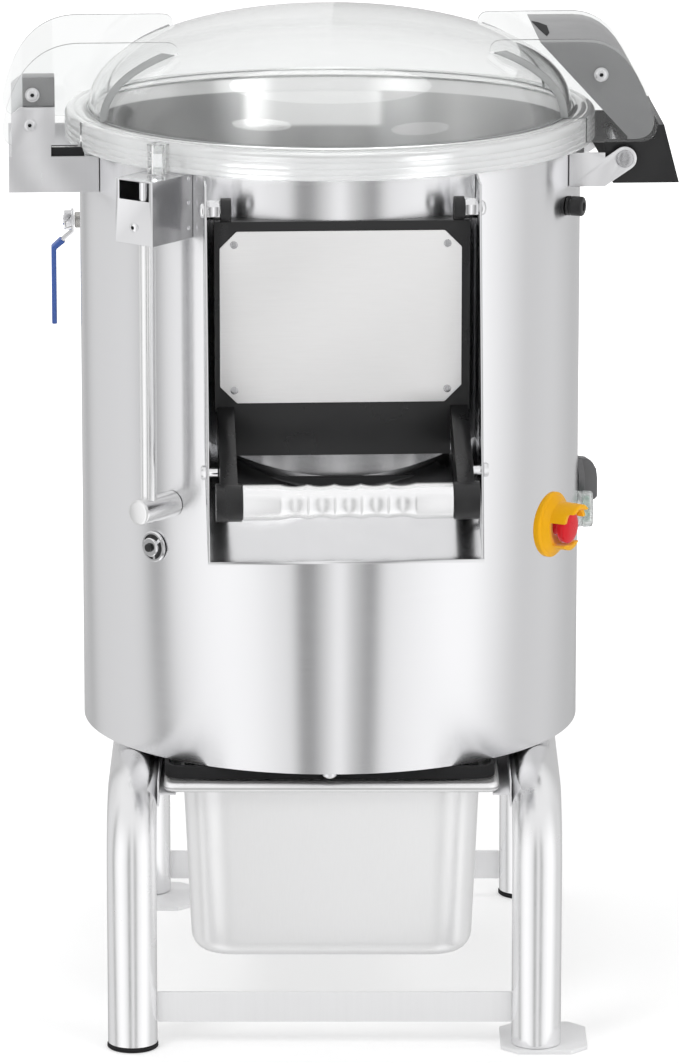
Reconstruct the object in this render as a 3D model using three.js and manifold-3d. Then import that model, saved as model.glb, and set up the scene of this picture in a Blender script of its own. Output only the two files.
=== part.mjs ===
// Electric potato peeler on a tubular stand. Millimetres, +Z up, front towards -Y.
import * as THREE from 'three';
import { mergeVertices } from 'three/addons/utils/BufferGeometryUtils.js';
import Module from 'manifold-3d';

const wasm = await Module();
wasm.setup();

// Fits shared by many pieces
const fitGap = 0.4; // between pieces that touch
const wallGap = 0.7; // between the round wall and what stands against it
const slideGap = 0.5; // around a pin or stem that turns or slides
const overrun = 5; // how far a cutting body runs past what it cuts
const weldTolerance = 0.001;
const hexShare = 1.1547; // a hexagon's corners over its flats

// Numbers of flats on round pieces
const wallSteps = 96;
const domeSteps = 40;
const roundSteps = 24;
const smallSteps = 14;
const hexSteps = 6;
const cornerSteps = 4;

// Stand
const tubeDiameter = 48;
const tubeWall = 2;
const tubeBend = 70;
const tubeSides = 8; // half the number of flats round the tube
const boreSides = 4;
const tubeSteps = 28;
const legReach = 516;
const drumBottom = 269.5;
const footHeight = 4.6;
const footRim = 0.8;
const anchorThickness = 4;
const anchorWidth = 84;
const anchorLength = 93;
const anchorChamfer = 16;
const anchorInward = 19;
const anchorShift = 7.5;
const barHeight = 30;
const barThickness = 4;
const barLevel = 25;
const rearBarLevel = 16;

// Waste pan, its rails and the skirt over it
const panWidth = 325;
const panLength = 354;
const panDepth = 183;
const panFront = 228;
const panRimReach = 19.5; // how far the rim stands out from the pan's body
const panWall = 1.5;
const panCorner = 45;
const panFloorRadius = 16;
const panFloorSteps = 3;
const panTaperShare = 0.055;
const rimThickness = 9; // height of the lip turned down all round the rim
const rimLip = 3;
const rimCorner = 14;
const panClearance = 14.5;
const railSheet = 1.5;
const railHeight = 26;
const railLedge = 18;
const railOverhang = 18; // how much longer the rails are than the pan
const railClearance = 9; // from the pan's rim to a leg
const skirtInset = 2.5;
const skirtSetback = 30; // from the drum wall in to the skirt's ends
const skirtSheet = 4;
const skirtCorner = 20;
const skirtPanGap = 1.6;
const studRadius = 7;
const studDrop = 7;
const studTip = 1;
const studInset = 10;

// Drum
const drumTurn = 2.8; // degrees that the drum is turned on the stand
const drumShift = 4.5; // how far the drum stands left of the middle of the stand
const panShift = 3;
const drumRadius = 245;
const drumSheet = 2;
const drumHeight = 602.5;
const baseSheet = 3;
const floorLevel = 286;
const floorSheet = 3;
const linerSheet = 2.6;
const linerLow = 314;
const linerHeight = 106;
const sealHeight = 3.2;
const sealWidth = 5;

// Discharge opening and chute
const openingWidth = 200;
const openingLow = 319;
const openingDrop = 68; // from the drum's top edge, as every drop here
const chuteWidth = 261;
const chuteSheet = 2;
const chuteDrop = 23;
const chuteTopReach = 17;
const chuteLipReach = 80;
const chuteLipLevel = 230.5;
const chuteFloorLevel = 294.5;

// Door, its arms and handle
const doorProud = 3;
const doorWide = 242;
const doorWideLow = 359.5;
const doorDrop = 60;
const doorNarrow = 206;
const doorNarrowLow = 316.5;
const plugGap = 1;
const plugLowGap = 3;
const plugInset = 5;
const hingeDrop = 48;
const hingeReach = 5;
const earRadius = 11.5;
const earThickness = 10;
const earSpan = 230;
const hingePinDiameter = 10;
const nutAcross = 17;
const headDiameter = 14;
const headHeight = 5;
const plateWidth = 229;
const plateDrop = 69;
const plateLow = 368;
const plateSheet = 1.5;
const plateChamfer = 16;
const plateShift = 1.5; // left of the middle of the door
const armThickness = 16;
const armSpan = 238;
const armRootHigh = 364;
const armRootLow = 327;
const armWrapShare = 0.9; // how much of the end cap the arm wraps
const gripDiameter = 34;
const gripLength = 198.2;
const gripLevel = 295.5;
const gripReach = 107;
const grooveDepth = 2.2;
const grooveWidth = 25;
const grooveCount = 5;
const grooveSteps = 4;
const capDiameter = 36;
const capLength = 24;
const catchDiameter = 9;
const catchReach = 52;
const catchLevel = 312;

// Lid
const lidOverhang = 14; // from the drum wall out to the lid's skirt
const lidSheet = 4;
const lidDrop = 20; // how far the skirt of the lid hangs below the drum's top edge
const lidLedge = 23; // from the skirt in to the foot of the dome
const domeHeight = 92.5;
const domePower = 2.15;
const domeRings = 9;
const rimRound = 7;
const ribSpan = 178;
const ribThickness = 4;
const ribHeight = 77;
const ribLap = 86; // how far a rib runs in over the dome
const ribShoulderOut = 8; // from the foot of the dome out to the rib's shoulder
const ribOverhang = 54;
const ribOverhangLeft = 61;
const ribWaist = 5;
const ribBottom = 23.5;
const ribCorner = 19;
const ribNose = 12;
const ribCurveShare = 0.32;
const ribCurveShareLeft = 0.2;
const coverSheet = 2;
const coverInset = 3;
const coverLap = 37;
const coverCornerOut = 25;
const coverCornerDrop = 18.5;
const coverBottom = 21;
const blockOut = 41;
const blockWidth = 31;
const blockDepth = 24;
const blockTop = 44;
const blockBottom = 17.5;
const lugWidth = 16;
const lugOut = 19;
const magnetDiameter = 8;
const magnetLength = 12;
const magnetRise = 7;

// Lid hinge, its guard and the catch bracket
const pinReach = 36; // from the drum wall out to the hinge pin
const pinDrop = 31; // from the drum's top edge down to the pin
const pinDiameter = 10;
const lugRadius = 10;
const bracketSheet = 3;
const bracketGap = 1.6;
const bracketLow = 58;
const bracketHigh = 25;
const bracketEye = 11.6;
const bracketShoulder = 17;
const eyeStartShare = 0.62; // where the round eye starts and ends, in quarter turns
const eyeEndShare = 1.38;
const guardOut = 54;
const guardTopOut = 39;
const guardLow = 26;
const guardTop = 31;
const guardIn = 10;
const guardSheet = 2;
const guardFace = 5;
const guardGap = 0.8;
const catchBack = 66;
const catchLow = 59;
const catchShelf = 24;
const catchTop = 24;
const catchNotchHeight = 13;
const catchNotchReach = 28;
const catchTongue = 24;
const catchChamferWidth = 9;
const catchChamferHeight = 7;

// Lid switch on the drum
const sensorAside = 7.816; // degrees past the chute's left cheek
const sensorReach = 60;
const sensorWidth = 45;
const sensorHeight = 62;
const sensorDrop = 21.5;
const sensorSheet = 1.5;
const windowWidth = 36;
const windowHeight = 18;
const switchDiameter = 11;
const switchSide = 6.5;
const switchSetback = 8;
const conduitAside = 1; // degrees further round than the sensor box
const conduitDiameter = 16;
const conduitReach = 35;
const conduitSheet = 1.5;
const bossDiameter = 25.5;
const bossLength = 52;
const bossLevel = 256;
const bossFaceShare = 0.8;

// Controls: where each one sits round the drum, in degrees from the front, and its height
const resetTurn = -46.25;
const resetLevel = 210;
const resetDiameter = 30;
const resetHeight = 7;
const resetFaceShare = 0.75;
const resetShoulderShare = 0.8;
const resetButtonDiameter = 8;
const resetButtonProud = 10.5;
const estopTurn = 58;
const estopLevel = 218;
const estopFlange = 64;
const estopFlangeHeight = 8;
const estopCollar = 57;
const estopShroud = 46;
const estopShroudInner = 37;
const estopShroudHeight = 34;
const estopWindowLow = 17;
const estopWindowHigh = 7;
const estopWindowStart = 11;
const estopWindowEnd = 32;
const estopForkHigh = 16;
const estopLowProng = 23; // how far out the lower prong reaches
const mushroomDiameter = 33;
const mushroomTop = 25;
const mushroomHeight = 10;
const mushroomNeck = 20;
const mushroomCrownShare = 0.7;
const estopTravel = 5;
const startTurn = 88;
const startLevel = 204;
const startButtonDiameter = 26;
const startButtonProud = 11;
const startButtonHeight = 7;
const startCrownShare = 0.88;
const bootDiameter = 36;
const bootProud = 14.6;
const bootSheet = 2;
const timerTurn = 97;
const timerLevel = 226.5;
const timerDiameter = 43;
const timerBase = 6;
const timerProud = 23.5;
const timerWing = 12;
const timerSetback = 1.5;
const plugTurn = 67;
const plugDrop = 76;
const plugDiameter = 19;
const plugProud = 16;
const plugChamfer = 2;
const glandTurn = 172;
const glandLevel = 62;
const glandDiameter = 26;
const glandProud = 30;
const glandBore = 9;
const glandCapShare = 0.8;
const glandMouthShare = 0.6;

// Water inlet
const valveTurn = -124.9; // degrees from the front
const valveOut = 17.2; // from the drum wall out to the pipe's upright run
const valveDrop = 133;
const valveDiameter = 32;
const valveLength = 60;
const valveEnd = 28;
const valveEndLength = 13;
const tailDiameter = 17;
const tailLength = 25;
const pipeDiameter = 18;
const pipeWall = 2;
const pipeBend = 17;
const pipeRise = 61;
const pipeInside = 8;
const nozzleDiameter = 26;
const nozzleLength = 6;
const bonnetDiameter = 16;
const bonnetReach = 34;
const stemDiameter = 10;
const stemReach = 46;
const stemNutAcross = 18;
const stemNutLength = 7.5;
const leverSheet = 2.5;
const leverWidth = 14;
const leverHead = 10.5;
const leverNeck = 11;
const leverKick = 19;
const leverKickDrop = 17;
const leverLength = 103.5;
const gripSleeveSheet = 1.3;
const gripSleeveLength = 74;

// Drive under the chamber floor
const discClearance = 18;
const discLift = 7;
const discThickness = 12;
const discRise = 5;
const knobRadius = 24;
const knobHeight = 14;
const knobShoulderShare = 0.9;
const shaftDiameter = 24;
const shaftLow = 38;
const shaftEntry = 8;
const housingDiameter = 68;
const housingLength = 122;
const housingFlange = 110;
const housingFlangeHeight = 9;
const pulleyClearance = 30; // between the rims of the two pulleys
const motorPulleyRadius = 30;
const pulleyHeight = 22;
const pulleyFlange = 4;
const pulleyFlangeHeight = 2;
const pulleyLow = 45;
const beltThickness = 6;
const beltGap = 0.6;
const motorWallGap = 17; // from the drum wall in to the motor's flange
const motorRim = 6;
const motorClearance = 15; // from the bearing's flange to the motor's
const motorLength = 190;
const motorFlangeHeight = 5;
const motorShaftDiameter = 18;
const spoutDiameter = 60;
const spoutWall = 2;
const spoutInset = 75;
const spoutDrop = 7;

// Values worked out from the driving dimensions
const quarterTurn = Math.PI / 2;
const fullTurn = Math.PI * 2;
const circleShare = 0.5523; // control length of a quarter circle, as a share of its radius
const tubeRadius = tubeDiameter / 2;
const legSpan = panWidth + tubeDiameter + railClearance * 2;
const legX = legSpan / 2;
const legY = legReach / 2;
const tubeTop = drumBottom - fitGap;
const runLevel = tubeTop - tubeRadius;
const panRimTop = drumBottom - panClearance;
const panBodyWidth = panWidth - 2 * panRimReach;
const panBodyLength = panLength - 2 * panRimReach;
const railLength = panLength + railOverhang;
const skirtWidth = panWidth - 2 * skirtInset;
const skirtLength = 2 * (drumRadius - skirtSetback);
const wallRadius = drumRadius + wallGap; // what stands against the drum starts here
const drumInside = drumRadius - drumSheet;
const openingHigh = drumHeight - openingDrop;
const chuteTop = drumHeight - chuteDrop;
const doorWideHigh = drumHeight - doorDrop;
const hingeLevel = drumHeight - hingeDrop;
const plateHeight = drumHeight - plateDrop - plateLow;
const sensorTop = drumHeight - sensorDrop;
const plugLevel = drumHeight - plugDrop;
const valveLevel = drumHeight - valveDrop;
const floorUnder = floorLevel - floorSheet;
const motorFlange = drumInside - motorWallGap - housingFlange / 2 - motorClearance;
const motorDiameter = motorFlange - 2 * motorRim;
const motorBehind = drumInside - motorWallGap - motorFlange / 2;
const drivenRadius = motorBehind - motorPulleyRadius - pulleyFlange * 2 - pulleyClearance;
const spoutReach = drumRadius - spoutInset;
const sensorTurn = -sensorAside - THREE.MathUtils.radToDeg(Math.asin(chuteWidth / 2 / drumRadius));
const discRadius = drumInside - discClearance;
const lidRadius = drumRadius + lidOverhang;
const domeRadius = lidRadius - lidLedge;
const ribStart = domeRadius - ribLap;
const ribShoulder = domeRadius + ribShoulderOut;
const ribReach = lidRadius + ribOverhang;
const ribReachLeft = lidRadius + ribOverhangLeft;
const coverStart = domeRadius - coverLap;
const coverCornerReach = lidRadius + coverCornerOut;
const blockReach = lidRadius + blockOut;
const lugReach = lidRadius + lugOut;
const magnetY = -(lugReach + lidRadius) / 2;
const pinX = drumRadius + pinReach;
const pinZ = drumHeight - pinDrop;
const flangeLow = drumHeight + sealHeight + fitGap * 2;
const lidTop = flangeLow + lidSheet; // top face of the lid's rim
const lidLow = drumHeight - lidDrop;
const hingeY = -(drumRadius + hingeReach);
const doorFront = -(drumRadius + doorProud);
const gripY = -(drumRadius + gripReach);
const gripZ = gripLevel;
const plugRadius = drumRadius - plugInset;
const ribOuter = ribSpan / 2;
const bracketInner = ribOuter + bracketGap;
const bracketOuter = bracketInner + bracketSheet;

// Colours and surfaces
const finishes = {
  brushedSteel: { color: 0xc9cacc, roughness: 0.32, metalness: 1 },
  polishedSteel: { color: 0xd8d9db, roughness: 0.12, metalness: 1 },
  sheetSteel: { color: 0xcfd0d1, roughness: 0.38, metalness: 1 },
  castAlloy: { color: 0xb9bbbd, roughness: 0.45, metalness: 1 },
  polishedAlloy: { color: 0xe4e5e6, roughness: 0.15, metalness: 1 },
  clearSheet: { color: 0xeef2f3, roughness: 0.06, metalness: 0, transparent: true, opacity: 0.3 },
  greyPlastic: { color: 0x8a8b8d, roughness: 0.4, metalness: 0 },
  blackPlastic: { color: 0x242425, roughness: 0.5, metalness: 0 },
  blackRubber: { color: 0x1b1b1c, roughness: 0.85, metalness: 0 },
  yellowPlastic: { color: 0xfdb50a, roughness: 0.4, metalness: 0 },
  redPlastic: { color: 0xd81e28, roughness: 0.3, metalness: 0 },
  greenPlastic: { color: 0x2f9e5f, roughness: 0.35, metalness: 0 },
  blueVinyl: { color: 0x2f4fa3, roughness: 0.45, metalness: 0 },
  abrasive: { color: 0x5d5a55, roughness: 0.95, metalness: 0 },
  paintedMotor: { color: 0x5b6670, roughness: 0.55, metalness: 0.3 },
};

// Shape helpers
function welded(geometry) {
  const bare = new THREE.BufferGeometry();
  bare.setAttribute('position', geometry.getAttribute('position').clone());
  if (geometry.index) bare.setIndex(geometry.index.clone());
  const merged = mergeVertices(bare, weldTolerance);
  const corners = merged.index.array;
  const kept = [];
  for (let i = 0; i < corners.length; i += 3) {
    const [a, b, c] = corners.slice(i, i + 3);
    if (a !== b && b !== c && c !== a) kept.push(a, b, c);
  }
  if (signedVolume(merged.getAttribute('position'), kept) < 0) kept.reverse();
  merged.setIndex(kept);
  return merged;
}

function signedVolume(positions, corners) {
  const [a, b, c] = [new THREE.Vector3(), new THREE.Vector3(), new THREE.Vector3()];
  let total = 0;
  for (let i = 0; i < corners.length; i += 3) {
    a.fromBufferAttribute(positions, corners[i]);
    b.fromBufferAttribute(positions, corners[i + 1]);
    c.fromBufferAttribute(positions, corners[i + 2]);
    total += a.dot(b.cross(c));
  }
  return total;
}

function toSolid(geometry) {
  const mesh = welded(geometry);
  return new wasm.Manifold(new wasm.Mesh({
    numProp: 3,
    vertProperties: new Float32Array(mesh.getAttribute('position').array),
    triVerts: new Uint32Array(mesh.index.array),
  }));
}

function toGeometry(solid) {
  const mesh = solid.getMesh();
  const geometry = new THREE.BufferGeometry();
  geometry.setAttribute('position', new THREE.BufferAttribute(mesh.vertProperties, 3));
  geometry.setIndex(new THREE.BufferAttribute(mesh.triVerts, 1));
  return geometry;
}

function cut(body, ...tools) {
  return toGeometry(tools.reduce((left, tool) => left.subtract(toSolid(tool)), toSolid(body)));
}

function join(...bodies) {
  const [first, ...others] = bodies.map(toSolid);
  return toGeometry(others.reduce((whole, body) => whole.add(body), first));
}

function overlapOf(body, other) {
  return toGeometry(toSolid(body).intersect(toSolid(other)));
}

function block([x0, x1], [y0, y1], [z0, z1]) {
  return new THREE.BoxGeometry(x1 - x0, y1 - y0, z1 - z0)
    .translate((x0 + x1) / 2, (y0 + y1) / 2, (z0 + z1) / 2);
}

// A profile of [radius, height] pairs, turned about the upright axis
function turned(profile, steps = roundSteps) {
  const points = profile.map(([radius, height]) => new THREE.Vector2(radius, height));
  return new THREE.LatheGeometry(points, steps).rotateX(quarterTurn);
}

function rod(radius, low, high, steps = roundSteps) {
  return turned([[0, low], [radius, low], [radius, high], [0, high]], steps);
}

function ring(inner, outer, low, high, steps = roundSteps) {
  return turned([[inner, low], [outer, low], [outer, high], [inner, high], [inner, low]], steps);
}

function hexRod(across, low, high) {
  return rod((across * hexShare) / 2, low, high, hexSteps);
}

// Height becomes the direction named
const facingFront = (geometry) => geometry.rotateX(quarterTurn);
const facingRight = (geometry) => geometry.rotateY(quarterTurn);
const facingLeft = (geometry) => geometry.rotateY(-quarterTurn);

function shapeOf(points) {
  return new THREE.Shape(points.map(([x, y]) => new THREE.Vector2(x, y)));
}

function thick(shape, depth, steps = cornerSteps) {
  return new THREE.ExtrudeGeometry(shape, { depth, bevelEnabled: false, curveSegments: steps });
}

// An outline of (x, z), as thick as the span of y
function frontPlate(shape, [y0, y1], steps) {
  return thick(shape, y1 - y0, steps).rotateX(quarterTurn).translate(0, y1, 0);
}

// An outline of (y, z), as thick as the span of x
function sidePlate(shape, [x0, x1], steps) {
  const [x, y, z] = [new THREE.Vector3(1, 0, 0), new THREE.Vector3(0, 1, 0), new THREE.Vector3(0, 0, 1)];
  const turn = new THREE.Matrix4().makeBasis(y, z, x);
  return thick(shape, x1 - x0, steps).applyMatrix4(turn).translate(x0, 0, 0);
}

function roundedRectangle(width, length, radius) {
  const [x, y] = [width / 2, length / 2];
  const shape = new THREE.Shape();
  shape.moveTo(x, radius - y);
  shape.lineTo(x, y - radius);
  shape.absarc(x - radius, y - radius, radius, 0, quarterTurn);
  shape.lineTo(radius - x, y);
  shape.absarc(radius - x, y - radius, radius, quarterTurn, 2 * quarterTurn);
  shape.lineTo(-x, radius - y);
  shape.absarc(radius - x, radius - y, radius, 2 * quarterTurn, 3 * quarterTurn);
  shape.lineTo(x - radius, -y);
  shape.absarc(x - radius, radius - y, radius, 3 * quarterTurn, fullTurn);
  return shape;
}

function piece(name, geometry, finish) {
  const shown = welded(geometry);
  shown.computeVertexNormals();
  const mesh = new THREE.Mesh(shown, new THREE.MeshStandardMaterial(finish));
  mesh.name = name;
  return mesh;
}

// The round wall with its clearance, which pieces against the drum are cut by
const drumBody = rod(wallRadius, -overrun, drumHeight + overrun, wallSteps);
const againstDrum = (geometry) => cut(geometry, drumBody);

// A place round the drum: inside it -Y points out of the wall and Z is up
function station(turn, level, ...meshes) {
  const place = new THREE.Group();
  place.rotation.z = THREE.MathUtils.degToRad(turn);
  place.position.z = level;
  place.add(...meshes);
  return place;
}

// Stand: two bent tubes, bars, feet
function framePath(frontLow, rearLow) {
  const point = (y, z) => new THREE.Vector3(0, y, z);
  const handle = tubeBend * (1 - circleShare);
  const bendFoot = runLevel - tubeBend;
  const bendRun = legY - tubeBend;
  const path = new THREE.CurvePath();
  path.add(new THREE.LineCurve3(point(-legY, frontLow), point(-legY, bendFoot)));
  path.add(new THREE.CubicBezierCurve3(point(-legY, bendFoot), point(-legY, runLevel - handle),
    point(handle - legY, runLevel), point(-bendRun, runLevel)));
  path.add(new THREE.LineCurve3(point(-bendRun, runLevel), point(bendRun, runLevel)));
  path.add(new THREE.CubicBezierCurve3(point(bendRun, runLevel), point(legY - handle, runLevel),
    point(legY, runLevel - handle), point(legY, bendFoot)));
  path.add(new THREE.LineCurve3(point(legY, bendFoot), point(legY, rearLow)));
  return path;
}

function sweptRound(radius, path, steps, sides) {
  const section = new THREE.Shape().absarc(0, 0, radius, 0, fullTurn);
  return new THREE.ExtrudeGeometry(section, {
    extrudePath: path, steps, curveSegments: sides, bevelEnabled: false,
  });
}

function legFrame(frontLow, rearLow) {
  const outside = sweptRound(tubeRadius, framePath(frontLow, rearLow), tubeSteps, tubeSides);
  const bore = sweptRound(tubeRadius - tubeWall, framePath(frontLow - overrun, rearLow - overrun),
    tubeSteps, boreSides);
  return cut(outside, bore);
}

function anchorPlate() {
  const [x, y, chamfer] = [anchorWidth / 2, anchorLength / 2, anchorChamfer];
  const outline = shapeOf([
    [chamfer - x, -y], [x - chamfer, -y], [x, chamfer - y], [x, y - chamfer],
    [x - chamfer, y], [chamfer - x, y], [-x, y - chamfer], [-x, chamfer - y],
  ]);
  return thick(outline, anchorThickness).translate(anchorShift, 0, 0);
}

function rubberFoot() {
  const radius = tubeRadius + footRim;
  return turned([[0, 0], [tubeRadius, 0], [radius, footRim], [radius, footHeight - footRim],
    [tubeRadius, footHeight], [0, footHeight]], roundSteps);
}

function crossBar(y, low) {
  const end = legX - tubeRadius - fitGap;
  const half = barThickness / 2;
  return block([-end, end], [y - half, y + half], [low, low + barHeight]);
}

function panRail(side) {
  const outer = legX - tubeRadius - fitGap;
  const inner = outer - railSheet;
  const ledgeTop = panRimTop - rimThickness - fitGap;
  const length = [-panFront, railLength - panFront];
  const low = ledgeTop - railHeight / 2;
  const upright = block([inner, outer], length, [low, low + railHeight]);
  const ledge = block([outer - railLedge, outer], length, [ledgeTop - railSheet, ledgeTop]);
  const rail = join(upright, ledge);
  return side < 0 ? rail.rotateZ(2 * quarterTurn).translate(0, railLength - 2 * panFront, 0) : rail;
}

// A pan body with rounded floor edges that narrows towards its floor
function panBody(width, length, floorZ, topZ, radius, floorRadius) {
  const core = roundedRectangle(width - 2 * floorRadius, length - 2 * floorRadius, radius - floorRadius);
  const bevel = { bevelThickness: floorRadius, bevelSize: floorRadius, bevelSegments: panFloorSteps };
  const depth = topZ - floorZ + overrun;
  const body = new THREE.ExtrudeGeometry(core, { depth, curveSegments: cornerSteps, ...bevel });
  body.translate(0, 0, floorZ + floorRadius);
  const spots = body.getAttribute('position');
  for (let i = 0; i < spots.count; i++) {
    const narrowing = 1 - panTaperShare * Math.max(0, (topZ - spots.getZ(i)) / (topZ - floorZ));
    spots.setX(i, spots.getX(i) * narrowing);
    spots.setY(i, spots.getY(i) * narrowing);
  }
  const kept = block([-width, width], [-length, length], [floorZ - overrun, topZ]);
  return overlapOf(body, kept);
}

function wastePan() {
  const floorZ = panRimTop - panDepth;
  const centre = panLength / 2 - panFront;
  const outside = panBody(panBodyWidth, panBodyLength, floorZ, panRimTop, panCorner, panFloorRadius);
  const inside = panBody(panBodyWidth - 2 * panWall, panBodyLength - 2 * panWall, floorZ + panWall,
    panRimTop + overrun, panCorner - panWall, panFloorRadius - panWall);
  const rim = thick(roundedRectangle(panWidth, panLength, rimCorner), rimLip)
    .translate(0, 0, panRimTop - rimLip);
  const lipOutline = roundedRectangle(panWidth, panLength, rimCorner);
  lipOutline.holes.push(roundedRectangle(panWidth - 2 * rimLip, panLength - 2 * rimLip, rimCorner - rimLip));
  const lip = thick(lipOutline, rimThickness).translate(0, 0, panRimTop - rimThickness);
  return cut(join(outside, rim, lip), inside).translate(-panShift, centre, 0);
}

function splashSkirt() {
  const outline = roundedRectangle(skirtWidth, skirtLength, skirtCorner);
  const hole = roundedRectangle(skirtWidth - 2 * skirtSheet, skirtLength - 2 * skirtSheet,
    skirtCorner - skirtSheet);
  outline.holes.push(hole);
  const low = panRimTop + skirtPanGap;
  return thick(outline, tubeTop - low).translate(-drumShift, 0, low);
}

function basePlate() {
  const radius = drumInside - fitGap;
  const plate = rod(radius, 0, baseSheet, wallSteps);
  const stud = turned([[0, -studDrop], [studRadius / 2, studTip - studDrop], [studRadius, -studDrop / 2],
    [studRadius, baseSheet / 2], [0, baseSheet / 2]], smallSteps).translate(0, studInset - drumRadius, 0);
  const spoutHole = rod(spoutDiameter / 2 + slideGap, -overrun, baseSheet + overrun)
    .translate(0, -spoutReach, 0).rotateZ(THREE.MathUtils.degToRad(drumTurn));
  return cut(join(plate, stud), spoutHole).translate(-drumShift, 0, drumBottom);
}

const stand = new THREE.Group();
const footTop = footHeight + fitGap;
const anchorTop = anchorThickness + fitGap;
const leftFrame = piece('leg_frame_left', legFrame(footTop, anchorTop), finishes.polishedSteel);
leftFrame.position.x = -legX;
const rightFrame = piece('leg_frame_right', legFrame(anchorTop, footTop), finishes.polishedSteel);
rightFrame.position.x = legX;
const frontAnchor = piece('anchor_plate_front_right', anchorPlate(), finishes.sheetSteel);
frontAnchor.position.set(legX, anchorInward - legY, 0);
const rearAnchor = piece('anchor_plate_rear_left', anchorPlate(), finishes.sheetSteel);
rearAnchor.position.set(-legX, legY - anchorInward, 0);
const frontFoot = piece('rubber_foot_front_left', rubberFoot(), finishes.blackRubber);
frontFoot.position.set(-legX, -legY, 0);
const rearFoot = piece('rubber_foot_rear_right', rubberFoot(), finishes.blackRubber);
rearFoot.position.set(legX, legY, 0);
stand.add(leftFrame, rightFrame, frontAnchor, rearAnchor, frontFoot, rearFoot);
stand.add(
  piece('front_cross_bar', crossBar(-legY, barLevel), finishes.sheetSteel),
  piece('rear_cross_bar', crossBar(legY, rearBarLevel), finishes.sheetSteel),
  piece('pan_rail_left', panRail(-1), finishes.sheetSteel),
  piece('pan_rail_right', panRail(1), finishes.sheetSteel),
  piece('waste_pan', wastePan(), finishes.brushedSteel),
  piece('splash_skirt', splashSkirt(), finishes.blackRubber),
  piece('base_plate', basePlate(), finishes.sheetSteel),
);

// Drum: the wall, the chamber floor, the liner and the chute
const valveAngle = THREE.MathUtils.degToRad(valveTurn);
const valveRadius = drumRadius + valveOut;
const pipeLevel = valveLevel + pipeRise;

function drumShell() {
  const half = openingWidth / 2;
  const wall = ring(drumInside, drumRadius, 0, drumHeight, wallSteps);
  const opening = block([-half, half], [-drumRadius - overrun, 0], [openingLow, openingHigh]);
  const pipeHole = facingFront(rod(pipeDiameter / 2 + slideGap, 0, drumRadius + overrun, smallSteps))
    .translate(0, 0, pipeLevel).rotateZ(valveAngle);
  return cut(wall, opening, pipeHole);
}

function chamberFloor() {
  const plate = rod(drumInside - fitGap, floorUnder, floorLevel, wallSteps);
  const shaftHole = rod(shaftDiameter / 2 + slideGap, floorUnder - overrun, floorLevel + overrun);
  const drain = rod(spoutDiameter / 2 - spoutWall, floorUnder - overrun, floorLevel + overrun)
    .translate(0, -spoutReach, 0);
  return cut(plate, shaftHole, drain);
}

function abrasiveLiner() {
  const outer = drumInside - fitGap;
  const sleeve = ring(outer - linerSheet, outer, linerLow, linerLow + linerHeight, wallSteps);
  const half = openingWidth / 2 + plugGap;
  const gap = block([-half, half], [-drumRadius, 0], [linerLow - overrun, linerLow + linerHeight + overrun]);
  return cut(sleeve, gap);
}

const chuteLipY = -(drumRadius + chuteLipReach);
const chuteSlope = (chuteFloorLevel - chuteLipLevel) / chuteLipReach;
const chuteFloorAt = (y) => chuteLipLevel + (y - chuteLipY) * chuteSlope;

function chute() {
  const half = chuteWidth / 2;
  const backY = -Math.sqrt(drumRadius ** 2 - half ** 2) + overrun;
  const topY = -(drumRadius + chuteTopReach);
  const cheek = shapeOf([[chuteLipY, chuteLipLevel], [backY, chuteFloorAt(backY)],
    [backY, chuteTop], [topY, chuteTop]]);
  const floor = shapeOf([[chuteLipY, chuteLipLevel - chuteSheet], [backY, chuteFloorAt(backY) - chuteSheet],
    [backY, chuteFloorAt(backY) + chuteSheet / 2], [chuteLipY, chuteLipLevel + chuteSheet / 2]]);
  const pinHoles = [[hingeY, hingeLevel], [-(drumRadius + catchReach), catchLevel]].map(([y, z]) =>
    facingRight(rod(hingePinDiameter / 2 + slideGap, -drumRadius, drumRadius, smallSteps))
      .translate(0, y, z));
  const sheets = join(
    sidePlate(cheek, [-half, chuteSheet - half]),
    sidePlate(cheek, [half - chuteSheet, half]),
    sidePlate(floor, [-half, half]),
  );
  return cut(sheets, drumBody, ...pinHoles);
}

function drainSpout() {
  const outer = spoutDiameter / 2;
  return ring(outer - spoutWall, outer, -spoutDrop, floorUnder - fitGap).translate(0, -spoutReach, 0);
}

const drum = new THREE.Group();
drum.position.set(-drumShift, 0, drumBottom);
drum.rotation.z = THREE.MathUtils.degToRad(drumTurn);
drum.add(
  piece('drum_shell', drumShell(), finishes.brushedSteel),
  piece('chamber_floor', chamberFloor(), finishes.sheetSteel),
  piece('abrasive_liner', abrasiveLiner(), finishes.abrasive),
  piece('top_seal', ring(drumRadius - sealWidth, drumRadius, drumHeight + fitGap,
    drumHeight + fitGap + sealHeight, wallSteps / 2), finishes.blackRubber),
  piece('chute', chute(), finishes.sheetSteel),
  piece('drain_spout', drainSpout(), finishes.sheetSteel),
);

// Drive: disc, shaft, belt and motor
const discLow = floorLevel + discLift;
const discTop = discLow + discThickness;
const shaftHigh = discTop + shaftEntry;
const housingLow = floorUnder - fitGap - housingLength;
const shaftBore = shaftDiameter / 2 + fitGap;

function abrasiveDisc() {
  return turned([[shaftBore, discLow], [discRadius, discLow], [discRadius, discTop],
    [discRadius - knobRadius, discTop + discRise], [discRadius / 2, discTop],
    [shaftBore, discTop], [shaftBore, discLow]], domeSteps);
}

function discKnob() {
  const low = discTop + fitGap;
  const high = low + knobHeight;
  return turned([[shaftBore, low], [knobRadius, low], [knobRadius * knobShoulderShare, high - knobHeight / 3],
    [knobRadius / 2, high], [0, high], [0, shaftHigh + fitGap], [shaftBore, shaftHigh + fitGap],
    [shaftBore, low]]);
}

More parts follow.
